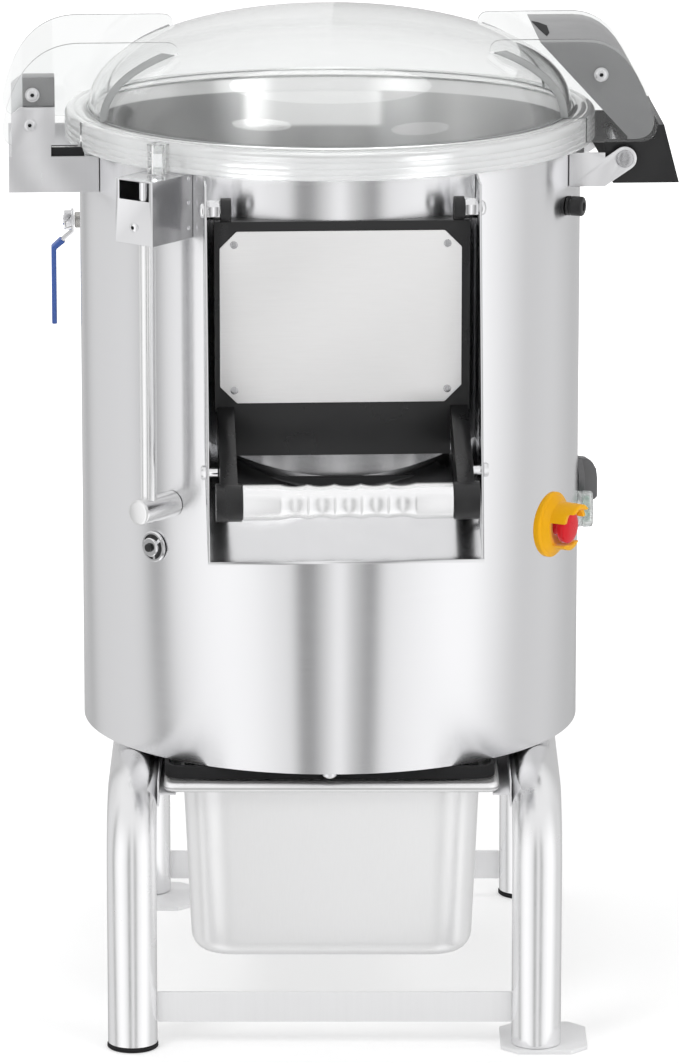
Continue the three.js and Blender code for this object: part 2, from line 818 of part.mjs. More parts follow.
function pulley(radius, bore, steps = roundSteps) {
  const edge = radius + pulleyFlange;
  const high = pulleyLow + pulleyHeight;
  return turned([[bore, pulleyLow], [edge, pulleyLow], [edge, pulleyLow + pulleyFlangeHeight],
    [radius, pulleyLow + pulleyFlangeHeight], [radius, high - pulleyFlangeHeight],
    [edge, high - pulleyFlangeHeight], [edge, high], [bore, high], [bore, pulleyLow]], steps);
}

function driveBelt() {
  const wrap = Math.acos((drivenRadius - motorPulleyRadius) / motorBehind);
  const loop = (grown) => {
    const path = new THREE.Shape();
    path.absarc(0, 0, drivenRadius + grown, quarterTurn + wrap, quarterTurn - wrap + fullTurn);
    path.absarc(0, motorBehind, motorPulleyRadius + grown, quarterTurn - wrap, quarterTurn + wrap);
    return path;
  };
  const outline = loop(beltGap + beltThickness);
  outline.holes.push(loop(beltGap));
  const low = pulleyLow + pulleyFlangeHeight + fitGap;
  return thick(outline, pulleyHeight - 2 * (pulleyFlangeHeight + fitGap), roundSteps / 2)
    .translate(0, 0, low);
}

function bearingHousing() {
  const high = floorUnder - fitGap;
  const flangeLow = high - housingFlangeHeight;
  return turned([[shaftBore, housingLow], [housingDiameter / 2, housingLow],
    [housingDiameter / 2, flangeLow], [housingFlange / 2, flangeLow], [housingFlange / 2, high],
    [shaftBore, high], [shaftBore, housingLow]]);
}

const motorHigh = floorUnder - fitGap;
const motorLow = motorHigh - motorLength;

function motorBody() {
  const flangeLow = motorHigh - motorFlangeHeight;
  return turned([[0, motorLow], [motorDiameter / 2, motorLow], [motorDiameter / 2, flangeLow],
    [motorFlange / 2, flangeLow], [motorFlange / 2, motorHigh], [0, motorHigh]])
    .translate(0, motorBehind, 0);
}

function motorPulley() {
  const radius = motorPulleyRadius;
  const shaft = rod(motorShaftDiameter / 2, pulleyLow - overrun, motorLow - fitGap, smallSteps);
  return join(pulley(radius, motorShaftDiameter / 4, smallSteps), shaft).translate(0, motorBehind, 0);
}

drum.add(
  piece('abrasive_disc', abrasiveDisc(), finishes.abrasive),
  piece('disc_knob', discKnob(), finishes.polishedSteel),
  piece('drive_shaft', rod(shaftDiameter / 2, shaftLow, shaftHigh), finishes.polishedSteel),
  piece('driven_pulley', pulley(drivenRadius, shaftBore), finishes.castAlloy),
  piece('motor_pulley', motorPulley(), finishes.castAlloy),
  piece('drive_belt', driveBelt(), finishes.blackRubber),
  piece('bearing_housing', bearingHousing(), finishes.castAlloy),
  piece('motor_body', motorBody(), finishes.paintedMotor),
);

// Door: leaf with its plug and ears, face plate, arms and handle
function doorLeaf() {
  const wide = block([-doorWide / 2, doorWide / 2], [doorFront, 0], [doorWideLow, doorWideHigh]);
  const narrow = block([-doorNarrow / 2, doorNarrow / 2], [doorFront, 0],
    [doorNarrowLow, doorWideLow + overrun]);
  const plugHalf = openingWidth / 2 - plugGap;
  const plug = block([-plugHalf, plugHalf], [doorFront, -plugRadius / 2],
    [openingLow + plugLowGap, openingHigh - plugLowGap]);
  const core = rod(plugRadius, 0, drumHeight, wallSteps);
  const backY = hingeY + earRadius;
  const ears = [-1, 1].map((side) => {
    const [inner, outer] = [earSpan / 2 - earThickness, earSpan / 2];
    const span = side < 0 ? [-outer, -inner] : [inner, outer];
    const eye = facingRight(rod(earRadius, span[0], span[1], roundSteps)).translate(0, hingeY, hingeLevel);
    const root = block(span, [doorFront, backY], [doorWideHigh - overrun, hingeLevel]);
    return join(eye, root);
  });
  const bore = facingRight(rod(hingePinDiameter / 2 + slideGap, -drumRadius, drumRadius, smallSteps))
    .translate(0, hingeY, hingeLevel);
  const outside = cut(join(wide, narrow), drumBody);
  return cut(join(outside, cut(plug, core), ...ears), bore);
}

function doorPlate() {
  const [x, z] = [plateWidth / 2, plateHeight / 2];
  const c = plateChamfer;
  const outline = shapeOf([[c - x, -z], [x - c, -z], [x, c - z], [x, z - c],
    [x - c, z], [c - x, z], [-x, z - c], [-x, c - z]]);
  const y = doorFront - fitGap;
  return frontPlate(outline, [y - plateSheet, y]).translate(-plateShift, 0, plateLow + z);
}

function doorArm(side) {
  const [outer, capRadius] = [armSpan / 2, capDiameter / 2];
  const inner = outer - armThickness;
  const root = doorFront - fitGap;
  const reach = new THREE.Vector2(gripY - root, gripZ - (armRootHigh + armRootLow) / 2).normalize();
  const wrap = capRadius * armWrapShare;
  const [acrossY, acrossZ] = [-reach.y * wrap, reach.x * wrap];
  const outline = shapeOf([[root, armRootLow], [root, armRootHigh],
    [gripY - acrossY, gripZ - acrossZ], [gripY + acrossY, gripZ + acrossZ]]);
  const capStart = gripLength / 2 + fitGap;
  const bar = sidePlate(outline, side < 0 ? [-outer, -inner] : [inner, outer]);
  const capSpan = side < 0 ? [-capStart - capLength, -capStart] : [capStart, capStart + capLength];
  const cap = facingRight(rod(capRadius, capSpan[0], capSpan[1])).translate(0, gripY, gripZ);
  return join(bar, cap);
}

function handleGrip() {
  const radius = gripDiameter / 2;
  const end = gripLength / 2;
  const grooved = (grooveWidth * grooveCount) / 2;
  const profile = [[0, -end], [radius, -end]];
  for (let i = 0; i <= grooveCount * grooveSteps; i++) {
    const phase = (i / grooveSteps) * fullTurn;
    const depth = (grooveDepth * (1 - Math.cos(phase))) / 2;
    profile.push([radius - depth, (i * grooveWidth) / grooveSteps - grooved]);
  }
  profile.push([radius, end], [0, end]);
  return facingRight(turned(profile, smallSteps + cornerSteps)).translate(0, gripY, gripZ);
}

// A hinge bolt: dome head outside the cheek, hexagon inside it, spigot in the door's ear
function hingeBolt(side) {
  const cheek = chuteWidth / 2;
  const inner = cheek - chuteSheet;
  const radius = hingePinDiameter / 2;
  const spigot = rod(radius, earSpan / 2 - earThickness + fitGap, cheek + headHeight / 2, smallSteps);
  const hexagon = hexRod(nutAcross, earSpan / 2 + fitGap, inner - fitGap);
  const headLow = cheek + fitGap;
  const head = turned([[0, headLow], [headDiameter / 2, headLow],
    [headDiameter / 2, headLow + headHeight / 2], [headDiameter / 4, headLow + headHeight],
    [0, headLow + headHeight]], smallSteps);
  const bolt = join(spigot, hexagon, head);
  return (side < 0 ? facingLeft(bolt) : facingRight(bolt)).translate(0, hingeY, hingeLevel);
}

// A spring catch: a plunger through the cheek that holds the door's arm
function catchPlunger(side) {
  const cheek = chuteWidth / 2;
  const headLow = cheek + fitGap;
  const stem = rod(catchDiameter / 2, armSpan / 2 + fitGap, headLow + headHeight / 2, smallSteps);
  const head = turned([[0, headLow], [headDiameter / 2, headLow],
    [headDiameter / 2, headLow + headHeight / 2], [headDiameter / 4, headLow + headHeight],
    [0, headLow + headHeight]], smallSteps);
  const plunger = join(stem, head);
  return (side < 0 ? facingLeft(plunger) : facingRight(plunger))
    .translate(0, -(drumRadius + catchReach), catchLevel);
}

drum.add(
  piece('door_leaf', doorLeaf(), finishes.blackPlastic),
  piece('door_plate', doorPlate(), finishes.brushedSteel),
  piece('door_arm_left', doorArm(-1), finishes.blackPlastic),
  piece('door_arm_right', doorArm(1), finishes.blackPlastic),
  piece('handle_grip', handleGrip(), finishes.polishedAlloy),
  piece('door_hinge_bolt_left', hingeBolt(-1), finishes.polishedSteel),
  piece('door_hinge_bolt_right', hingeBolt(1), finishes.polishedSteel),
  piece('catch_plunger_left', catchPlunger(-1), finishes.polishedSteel),
  piece('catch_plunger_right', catchPlunger(1), finishes.polishedSteel),
);

// Lid: dome with bonded ribs and magnet lug, cover, strike block, hinge guard
function domeCurve(radius, height) {
  const points = [];
  for (let i = 0; i <= domeRings; i++) {
    const angle = (i / domeRings) * quarterTurn;
    const across = Math.max(0, Math.cos(angle)) ** (2 / domePower);
    const rise = Math.sin(angle) ** (2 / domePower);
    points.push([i === domeRings ? 0 : radius * across, lidTop + height * rise]);
  }
  return points;
}

function domeShell() {
  const inner = domeCurve(domeRadius - lidSheet, domeHeight - lidSheet).reverse();
  inner[inner.length - 1][1] = flangeLow;
  const skirtInner = lidRadius - lidSheet;
  const rim = [[skirtInner, flangeLow], [skirtInner, lidLow], [lidRadius, lidLow],
    [lidRadius, lidTop - rimRound], [lidRadius - rimRound / 3, lidTop - rimRound / 3],
    [lidRadius - rimRound, lidTop]];
  return turned([...inner, ...rim, ...domeCurve(domeRadius, domeHeight)], domeSteps);
}

// Everything the lid takes up, filled in and grown by a margin
function lidSolid(margin) {
  const edge = lidRadius + margin;
  return turned([[0, lidLow - overrun], [edge, lidLow - overrun], [edge, lidTop + margin],
    ...domeCurve(domeRadius + margin, domeHeight + margin)], domeSteps);
}

function ribOutline(reach, curveShare) {
  const top = lidTop + ribHeight;
  const waist = lidTop - ribWaist;
  const bottom = lidTop - ribBottom;
  const outline = new THREE.Shape();
  outline.moveTo(ribStart, top - ribNose);
  outline.quadraticCurveTo(ribStart, top, ribStart + ribNose, top);
  outline.lineTo(ribShoulder, top);
  outline.quadraticCurveTo(reach - (reach - ribShoulder) * curveShare, top, reach, waist);
  outline.quadraticCurveTo(reach, bottom, reach - ribCorner, bottom);
  outline.lineTo(domeRadius - ribNose, bottom);
  return outline;
}

function ribPair(y0, y1) {
  const right = frontPlate(ribOutline(ribReach, ribCurveShare), [y0, y1], domeRings);
  const lug = facingFront(rod(lugRadius, -y1, -y0, roundSteps)).translate(pinX, 0, pinZ);
  const neck = block([pinX - lugRadius, pinX + lugRadius], [y0, y1], [pinZ, lidTop - ribBottom + overrun]);
  const bore = facingFront(rod(pinDiameter / 2 + slideGap, -y1 - overrun, overrun - y0, smallSteps))
    .translate(pinX, 0, pinZ);
  const left = frontPlate(ribOutline(ribReachLeft, ribCurveShareLeft), [-y1, -y0], domeRings)
    .rotateZ(2 * quarterTurn);
  return [cut(join(right, lug, neck), bore), left];
}

function lidDome() {
  const outerY = ribOuter;
  const innerY = ribOuter - ribThickness;
  const ribs = [...ribPair(-outerY, -innerY), ...ribPair(innerY, outerY)];
  const filled = lidSolid(-lidSheet / 2);
  const lugHigh = lidTop;
  const lugLow = lidLow;
  const lugTurn = THREE.MathUtils.degToRad(sensorTurn);
  const lug = block([-lugWidth / 2, lugWidth / 2], [-lugReach, -lidRadius + lidSheet / 2], [lugLow, lugHigh]);
  const magnetHole = rod(magnetDiameter / 2 + fitGap, lugLow - overrun, lugHigh + overrun, smallSteps)
    .translate(0, magnetY, 0);
  return join(domeShell(), ...ribs.map((rib) => cut(rib, filled)), cut(lug, magnetHole).rotateZ(lugTurn));
}

function lidMagnet() {
  const low = lidLow + magnetRise;
  return rod(magnetDiameter / 2, low, low + magnetLength, smallSteps).translate(0, magnetY, 0)
    .rotateZ(THREE.MathUtils.degToRad(sensorTurn));
}

function coverOutline() {
  const top = lidTop + ribHeight - coverInset;
  const reach = ribReach - coverInset;
  const waist = lidTop - ribWaist + coverInset;
  const bottom = lidTop - coverBottom;
  const outline = new THREE.Shape();
  outline.moveTo(coverStart, top);
  outline.lineTo(ribShoulder, top);
  outline.quadraticCurveTo(reach - (reach - ribShoulder) * ribCurveShare, top, reach, waist);
  outline.quadraticCurveTo(reach, bottom, reach - ribCorner, bottom);
  outline.lineTo(coverCornerReach, bottom);
  outline.lineTo(coverCornerReach, lidTop - coverCornerDrop);
  return outline;
}

function lidCover() {
  const half = ribOuter - ribThickness - fitGap;
  const inside = half - coverSheet;
  const body = frontPlate(coverOutline(), [-half, half], domeRings);
  const hollow = frontPlate(coverOutline(), [-inside, inside], domeRings)
    .translate(-coverSheet, 0, -coverSheet);
  const belowHollow = block([lidRadius, ribReach - coverInset - ribCorner], [-inside, inside],
    [lidTop - coverBottom - overrun, lidTop - coverBottom + coverSheet]);
  return cut(body, hollow, belowHollow);
}

function strikeBlock() {
  const front = ribThickness + fitGap - ribOuter;
  return block([-blockReach, blockWidth - blockReach], [front, front + blockDepth],
    [lidTop - blockBottom, lidTop + blockTop]);
}

function hingeGuard() {
  const half = ribOuter - ribThickness - fitGap - coverSheet - guardGap;
  const inside = half - guardSheet;
  const [low, high] = [pinZ - guardLow, pinZ + guardTop];
  const coverLow = lidTop - coverBottom - guardGap;
  const coverSide = ribReach - coverInset + guardGap;
  const outline = shapeOf([[pinX - guardIn, low], [pinX + guardOut, low], [pinX + guardTopOut, high],
    [coverSide, high], [coverSide, coverLow], [lidRadius + coverInset, coverLow],
    [lidRadius + coverInset, pinZ - lugRadius]]);
  const open = shapeOf([[lidRadius - overrun, low - overrun], [pinX + guardOut - guardFace, low - overrun],
    [pinX + guardOut - guardFace, low], [pinX + guardTopOut - guardFace, high],
    [pinX + guardTopOut - guardFace, high + overrun], [lidRadius - overrun, high + overrun]]);
  const bore = facingFront(rod(pinDiameter / 2 + slideGap, -drumRadius, drumRadius, smallSteps))
    .translate(pinX, 0, pinZ);
  return cut(frontPlate(outline, [-half, half]), frontPlate(open, [-inside, inside]), bore);
}

drum.add(
  piece('lid_dome', lidDome(), finishes.clearSheet),
  piece('lid_magnet', lidMagnet(), finishes.polishedSteel),
  piece('lid_cover', lidCover(), finishes.greyPlastic),
  piece('strike_block', strikeBlock(), finishes.greyPlastic),
  piece('hinge_guard', hingeGuard(), finishes.blackPlastic),
);

// Brackets that carry the lid's hinge and receive its free end
function wallBand(span, low, high, side) {
  const band = ring(wallRadius, wallRadius + bracketSheet, low, high, wallSteps);
  const edges = [0, side * drumRadius * 2].sort((a, b) => a - b);
  return overlapOf(band, block(edges, [-span, span], [low - overrun, high + overrun]));
}

function hingeBracket() {
  const [low, high] = [drumHeight - bracketLow, drumHeight - bracketHigh];
  const shoulderX = drumRadius + bracketShoulder;
  const eye = bracketEye;
  const inside = Math.sqrt(drumRadius ** 2 - bracketOuter ** 2) - overrun;
  const outline = new THREE.Shape();
  outline.moveTo(inside, low);
  outline.lineTo(shoulderX, low);
  outline.absarc(pinX, pinZ, eye, -quarterTurn * eyeStartShare, quarterTurn * eyeEndShare);
  outline.lineTo(shoulderX, high - overrun);
  outline.lineTo(shoulderX, high);
  outline.lineTo(inside, high);
  const plates = [[-bracketOuter, -bracketInner], [bracketInner, bracketOuter]]
    .map((span) => frontPlate(outline, span, domeRings));
  const bore = facingFront(rod(pinDiameter / 2 + slideGap, -drumRadius, drumRadius, smallSteps))
    .translate(pinX, 0, pinZ);
  return cut(join(...plates.map(againstDrum), wallBand(bracketOuter, low, high, 1)), bore);
}

function catchBracket() {
  const left = -(drumRadius + catchBack);
  const low = drumHeight - catchLow;
  const shelf = drumHeight - catchShelf;
  const top = drumHeight + catchTop;
  const inside = overrun - Math.sqrt(drumRadius ** 2 - bracketOuter ** 2);
  const notchX = -(drumRadius + catchNotchReach);
  const tongueX = -(drumRadius + catchTongue);
  const outline = shapeOf([[left, low], [inside, low], [inside, shelf], [notchX, shelf],
    [notchX, shelf + catchNotchHeight], [tongueX, shelf + catchNotchHeight], [tongueX, top],
    [left + catchChamferWidth, top], [left, top - catchChamferHeight]]);
  const plates = [[-bracketOuter, -bracketInner], [bracketInner, bracketOuter]]
    .map((span) => againstDrum(frontPlate(outline, span)));
  const back = block([left - bracketSheet, left], [-bracketOuter, bracketOuter], [low, shelf]);
  const lap = block([left - bracketSheet, left + bracketSheet], [-bracketOuter, bracketOuter],
    [low, low + bracketSheet]);
  const plateLaps = plates.map((plate) => join(plate, back));
  return join(...plateLaps, lap, wallBand(bracketOuter, low, shelf, -1));
}

drum.add(
  piece('hinge_bracket', hingeBracket(), finishes.sheetSteel),
  piece('hinge_pin', facingFront(rod(pinDiameter / 2, -bracketOuter - fitGap, bracketOuter + fitGap,
    smallSteps)).translate(pinX, 0, pinZ), finishes.polishedSteel),
  piece('catch_bracket', catchBracket(), finishes.sheetSteel),
);

// Lid switch: box, sensor, conduit
function sensorBox() {
  const half = sensorWidth / 2;
  const face = -(drumRadius + sensorReach);
  const sheet = sensorSheet;
  const [low, high] = [-sensorHeight, 0];
  const body = block([-half, half], [face, -drumRadius + overrun], [low, high]);
  const hollow = block([sheet - half, half - sheet], [face + sheet, -drumRadius - overrun - sheet],
    [low + sheet, high - sheet]);
  const pane = block([-windowWidth / 2, windowWidth / 2], [face - overrun, face + overrun],
    [high - sheet - windowHeight, high - sheet]);
  return cut(body, hollow, pane, drumBody.clone().translate(0, 0, -sensorTop));
}

function lidSensor() {
  const y = -(drumRadius + sensorReach - switchSetback);
  const low = sensorSheet - sensorHeight + fitGap;
  return rod(switchDiameter / 2, low, -sensorSheet - fitGap, smallSteps).translate(switchSide, y, 0);
}

function conduit() {
  const radius = conduitDiameter / 2;
  const high = sensorTop - sensorHeight - fitGap;
  const tube = ring(radius - conduitSheet, radius, bossLevel, high, smallSteps)
    .translate(0, -(drumRadius + conduitReach), 0);
  const round = bossDiameter / 2;
  const start = wallRadius - overrun;
  const end = drumRadius + bossLength;
  const boss = facingFront(turned([[0, start], [round, start], [round, end - round / 4],
    [round * bossFaceShare, end], [0, end]], smallSteps + cornerSteps)).translate(0, 0, bossLevel);
  return againstDrum(join(boss, tube));
}

drum.add(
  station(sensorTurn, sensorTop,
    piece('sensor_box', sensorBox(), finishes.sheetSteel),
    piece('lid_sensor', lidSensor(), finishes.polishedSteel)),
  station(sensorTurn - conduitAside, 0, piece('conduit', conduit(), finishes.brushedSteel)),
);

// Controls round the drum
function resetBezel() {
  const hole = resetButtonDiameter / 2 + slideGap;
  const radius = resetDiameter / 2;
  const profile = [[hole, 0], [radius, 0], [radius, resetHeight / 2],
    [radius * resetFaceShare, resetHeight * resetShoulderShare], [hole, resetHeight], [hole, 0]];
  return facingFront(turned(profile).translate(0, 0, wallRadius));
}

function estopGuard() {
  const flange = wallRadius + estopFlangeHeight;
  const [outer, inner] = [estopShroud / 2, estopShroudInner / 2];
  const start = wallRadius - overrun;
  const end = wallRadius + estopShroudHeight;
  const body = facingFront(turned([[mushroomNeck / 2 + slideGap, start], [estopFlange / 2, start],
    [estopFlange / 2, flange - estopFlangeHeight / 2], [estopCollar / 2, flange], [outer, end],
    [inner, end], [inner, flange], [mushroomNeck / 2 + slideGap, flange],
    [mushroomNeck / 2 + slideGap, start]]));
  const window = block([-estopFlange, estopFlange], [-(wallRadius + estopWindowEnd),
    -(wallRadius + estopWindowStart)], [-estopWindowLow, estopWindowHigh]);
  const fork = block([-estopFlange, estopFlange], [-(end + overrun), overrun - (wallRadius + estopWindowEnd)],
    [-estopWindowLow, estopForkHigh]);
  const lowProng = block([-estopFlange, estopFlange], [-(end + overrun), -(wallRadius + estopLowProng)],
    [-estopFlange, -estopWindowLow / 2]);
  return cut(body, window, fork, lowProng, drumBody.clone().translate(0, 0, -estopLevel));
}

function estopButton() {
  const low = wallRadius + estopTravel + slideGap;
  const top = wallRadius + mushroomTop;
  const radius = mushroomDiameter / 2;
  const under = top - mushroomHeight;
  return facingFront(turned([[0, low], [mushroomNeck / 2, low], [mushroomNeck / 2, under],
    [radius, under + mushroomHeight / 4], [radius, top - mushroomHeight / 3],
    [radius * mushroomCrownShare, top - mushroomHeight / 9], [0, top]]));
}

function startButton() {
  const top = wallRadius + startButtonProud;
  const radius = startButtonDiameter / 2;
  return facingFront(turned([[0, top - startButtonHeight], [radius, top - startButtonHeight],
    [radius, top - radius / 8], [radius * startCrownShare, top], [0, top]]));
}

function startBoot() {
  const outer = bootDiameter / 2;
  const top = wallRadius + bootProud;
  const [inner, under] = [outer - bootSheet, wallRadius + bootProud - bootSheet];
  return facingFront(turned([[0, under], [inner, under], [inner, wallRadius], [outer, wallRadius],
    [outer, top - bootSheet], [outer - bootSheet, top], [0, top]]));
}

function timerKnob() {
  const low = wallRadius + timerSetback;
  const base = rod(timerDiameter / 2, low, low + timerBase);
  const half = timerDiameter / 2;
  const wing = new THREE.Shape();
  wing.moveTo(-half, low + timerBase / 2);
  wing.lineTo(half, low + timerBase / 2);
  wing.quadraticCurveTo(half, wallRadius + timerProud, 0, wallRadius + timerProud);
  wing.lineTo(-half + timerWing / 4, wallRadius + timerProud);
  wing.lineTo(-half, wallRadius + timerProud - timerWing / 4);
  // The wing stands across the knob: its outline runs along the knob's face and out of it
  const grip = thick(wing, timerWing, cornerSteps).translate(0, 0, -timerWing / 2).rotateX(quarterTurn);
  return facingFront(join(base, grip).rotateZ(quarterTurn));
}

function blankingPlug() {
  const radius = plugDiameter / 2;
  const top = wallRadius + plugProud;
  return facingFront(turned([[0, wallRadius], [radius, wallRadius], [radius, top - plugChamfer],
    [radius - plugChamfer, top], [0, top]], smallSteps));
}

function cableGland() {
  const radius = glandDiameter / 2;
  const bore = glandBore / 2;
  const top = wallRadius + glandProud;
  const nut = wallRadius + glandProud / 3;
  const cap = radius * glandCapShare;
  return facingFront(turned([[bore, wallRadius], [radius, wallRadius], [radius, nut],
    [cap, nut], [cap, top - plugChamfer], [radius * glandMouthShare, top], [bore, top],
    [bore, wallRadius]], smallSteps));
}

const resetButton = facingFront(rod(resetButtonDiameter / 2, wallRadius + resetHeight / 3,
  wallRadius + resetButtonProud, smallSteps));

drum.add(
  station(resetTurn, resetLevel,
    piece('reset_bezel', resetBezel(), finishes.polishedSteel),
    piece('reset_button', resetButton, finishes.blackPlastic)),
  station(estopTurn, estopLevel,
    piece('estop_guard', estopGuard(), finishes.yellowPlastic),
    piece('estop_button', estopButton(), finishes.redPlastic)),
  station(startTurn, startLevel,
    piece('start_button', startButton(), finishes.greenPlastic),
    piece('start_boot', startBoot(), finishes.clearSheet)),
  station(timerTurn, timerLevel, piece('timer_knob', timerKnob(), finishes.greyPlastic)),
  station(plugTurn, plugLevel, piece('blanking_plug', blankingPlug(), finishes.blackPlastic)),
  station(glandTurn, glandLevel, piece('cable_gland', cableGland(), finishes.blackPlastic)),
);

// Water inlet: pipe with its nozzle, ball valve, lever with its grip
const valveTop = valveLevel + valveLength / 2;

function inletPipe() {
  const out = (distance, z) => new THREE.Vector3(0, -distance, z);
  const start = drumInside - pipeInside;
  const bendStart = valveRadius - pipeBend;
  const handle = pipeBend * (1 - circleShare);
  const route = (startAt, endAt) => {
    const path = new THREE.CurvePath();
    path.add(new THREE.LineCurve3(out(startAt, pipeLevel), out(bendStart, pipeLevel)));
    path.add(new THREE.CubicBezierCurve3(out(bendStart, pipeLevel), out(valveRadius - handle, pipeLevel),
      out(valveRadius, pipeLevel - handle), out(valveRadius, pipeLevel - pipeBend)));
    path.add(new THREE.LineCurve3(out(valveRadius, pipeLevel - pipeBend), out(valveRadius, endAt)));
    return path;
  };
  const radius = pipeDiameter / 2;
  const outside = sweptRound(radius, route(start, valveTop + fitGap), roundSteps, tubeSides);
  const nozzle = facingFront(rod(nozzleDiameter / 2, start - nozzleLength, start + fitGap, smallSteps))
    .translate(0, 0, pipeLevel);
  const bore = sweptRound(radius - pipeWall, route(start - nozzleLength - overrun,
    valveTop - overrun), roundSteps, boreSides);
  return cut(join(outside, nozzle), bore).rotateZ(valveAngle);
}

function valveBody() {
  const [low, high] = [-valveLength / 2, valveLength / 2];
  const [round, end, tail] = [valveDiameter / 2, valveEnd / 2, tailDiameter / 2];
  const body = turned([[0, low - tailLength], [tail, low - tailLength], [tail, low], [end, low],
    [end, low + valveEndLength], [round, low + valveEndLength], [round, high - valveEndLength],
    [end, high - valveEndLength], [end, high], [0, high]], smallSteps + cornerSteps);
  const bonnet = facingLeft(rod(bonnetDiameter / 2, 0, bonnetReach, smallSteps));
  return join(body, bonnet);
}

// The lever's strip: level with the stem, kicked outwards, then hanging down
function leverStrip(grown) {
  const [inner, outer] = [bonnetReach + fitGap * 2 - grown, bonnetReach + fitGap * 2 + leverSheet + grown];
  const kinkZ = -leverNeck;
  const [lowX, lowZ] = [leverKick, kinkZ - leverKickDrop];
  const outline = shapeOf([[-inner, leverHead], [-inner, kinkZ], [-inner - lowX, lowZ],
    [-inner - lowX, -leverLength - grown], [-outer - lowX, -leverLength - grown],
    [-outer - lowX, lowZ + leverSheet / 2], [-outer, kinkZ + leverSheet / 2], [-outer, leverHead]]);
  const half = leverWidth / 2 + grown;
  return frontPlate(outline, [-half, half]);
}

function valveLever() {
  const stem = facingLeft(rod(stemDiameter / 2, bonnetReach + fitGap, stemReach, smallSteps));
  const nutLow = bonnetReach + fitGap + leverSheet;
  const nut = facingLeft(hexRod(stemNutAcross, nutLow, nutLow + stemNutLength));
  return join(leverStrip(0), stem, nut);
}

function leverGrip() {
  const inner = bonnetReach + fitGap * 2 + leverKick - gripSleeveSheet;
  const outer = inner + leverSheet + 2 * gripSleeveSheet;
  const half = leverWidth / 2 + gripSleeveSheet;
  const low = -leverLength - gripSleeveSheet;
  return cut(block([-outer, -inner], [-half, half], [low, low + gripSleeveLength]), leverStrip(fitGap));
}

const valve = new THREE.Group();
valve.position.set(valveRadius * Math.sin(valveAngle), -valveRadius * Math.cos(valveAngle), valveLevel);
valve.add(
  piece('valve_body', valveBody(), finishes.polishedSteel),
  piece('valve_lever', valveLever(), finishes.polishedSteel),
  piece('valve_grip', leverGrip(), finishes.blueVinyl),
);
drum.add(piece('inlet_pipe', inletPipe(), finishes.polishedSteel), valve);

// The whole peeler, set down with the middle of its box over the origin
const peeler = new THREE.Group();
peeler.add(stand, drum);
peeler.updateMatrixWorld(true);
const extent = new THREE.Box3().setFromObject(peeler, true);
const middle = extent.getCenter(new THREE.Vector3());
peeler.position.set(-middle.x, -middle.y, -extent.min.z);
peeler.updateMatrixWorld(true);

export default peeler;
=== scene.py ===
import math
import bpy
from mathutils import Matrix, Vector


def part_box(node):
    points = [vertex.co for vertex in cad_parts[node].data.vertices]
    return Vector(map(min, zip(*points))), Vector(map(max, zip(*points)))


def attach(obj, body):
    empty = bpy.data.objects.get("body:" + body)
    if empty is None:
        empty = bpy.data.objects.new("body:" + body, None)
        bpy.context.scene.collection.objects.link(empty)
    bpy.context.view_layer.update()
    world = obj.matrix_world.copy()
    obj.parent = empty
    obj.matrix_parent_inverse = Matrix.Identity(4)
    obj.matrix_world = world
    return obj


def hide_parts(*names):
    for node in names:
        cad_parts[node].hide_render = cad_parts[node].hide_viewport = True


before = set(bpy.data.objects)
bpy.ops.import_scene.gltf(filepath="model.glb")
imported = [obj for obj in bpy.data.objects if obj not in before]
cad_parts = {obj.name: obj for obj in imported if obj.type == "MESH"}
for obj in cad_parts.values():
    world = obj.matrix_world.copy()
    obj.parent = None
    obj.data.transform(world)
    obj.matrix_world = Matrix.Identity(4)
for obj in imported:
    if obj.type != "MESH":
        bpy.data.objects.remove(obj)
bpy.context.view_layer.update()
mm = 0.001
print("frame loaded:", len(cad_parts), "nodes")

# Camera first: long lens, looking slightly down at the front
cameraLook = {
    "lens": 225.85, "sensor": 36, "pitch": 13.6, "distance": 6.615, "target": (0.0026, 0.0450, 0.4510)}
bpy.ops.object.camera_add(location=(0, 0, 0))
camera = bpy.context.object
camera.name = "studioCamera"
camera.data.lens = cameraLook["lens"]
camera.data.sensor_width = cameraLook["sensor"]
pitch = math.radians(cameraLook["pitch"])
away = Vector((0, -math.cos(pitch), math.sin(pitch)))
camera.location = Vector(cameraLook["target"]) + cameraLook["distance"] * away
camera.rotation_euler = (math.pi / 2 - pitch, 0, 0)
camera.data.clip_end = 200
bpy.context.scene.camera = camera


# Places, in millimetres and degrees
def moved(x=0.0, y=0.0, z=0.0):
    return Matrix.Translation((x * mm, y * mm, z * mm))


def turned(degrees, axis="Z"):
    return Matrix.Rotation(math.radians(degrees), 4, axis)


def middleOf(node):
    low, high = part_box(node)
    return Vector(((low.x + high.x) / 2, (low.y + high.y) / 2, 0))


drumAxis = middleOf("drum_shell") + Vector((0, 0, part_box("drum_shell")[0].z))
drumTurn = 2.8  # front towards +X
drumPlace = Matrix.Translation(drumAxis) @ turned(drumTurn)
facingFront = turned(90, "X")  # height becomes the way out of the drum
facingRight, facingLeft = turned(90, "Y"), turned(-90, "Y")


def station(turn, level):
    return drumPlace @ turned(turn) @ moved(z=level)


def pick(look, *keys):
    return [look[key] for key in keys]


# Modelling steps that repeat
def deselectAll():
    bpy.ops.object.select_all(action="DESELECT")


def onlyThis(piece):
    deselectAll()
    piece.select_set(True)
    bpy.context.view_layer.objects.active = piece


def apply(piece, kind, **settings):
    onlyThis(piece)
    modifier = piece.modifiers.new(kind.lower(), kind)
    for key, value in settings.items():
        setattr(modifier, key, value)
    bpy.ops.object.modifier_apply(modifier=modifier.name)


def softEdges(piece, width, segments=3, angle=30):
    apply(
        piece, "BEVEL", width=width * mm, segments=segments, limit_method="ANGLE",
        angle_limit=math.radians(angle), use_clamp_overlap=True)


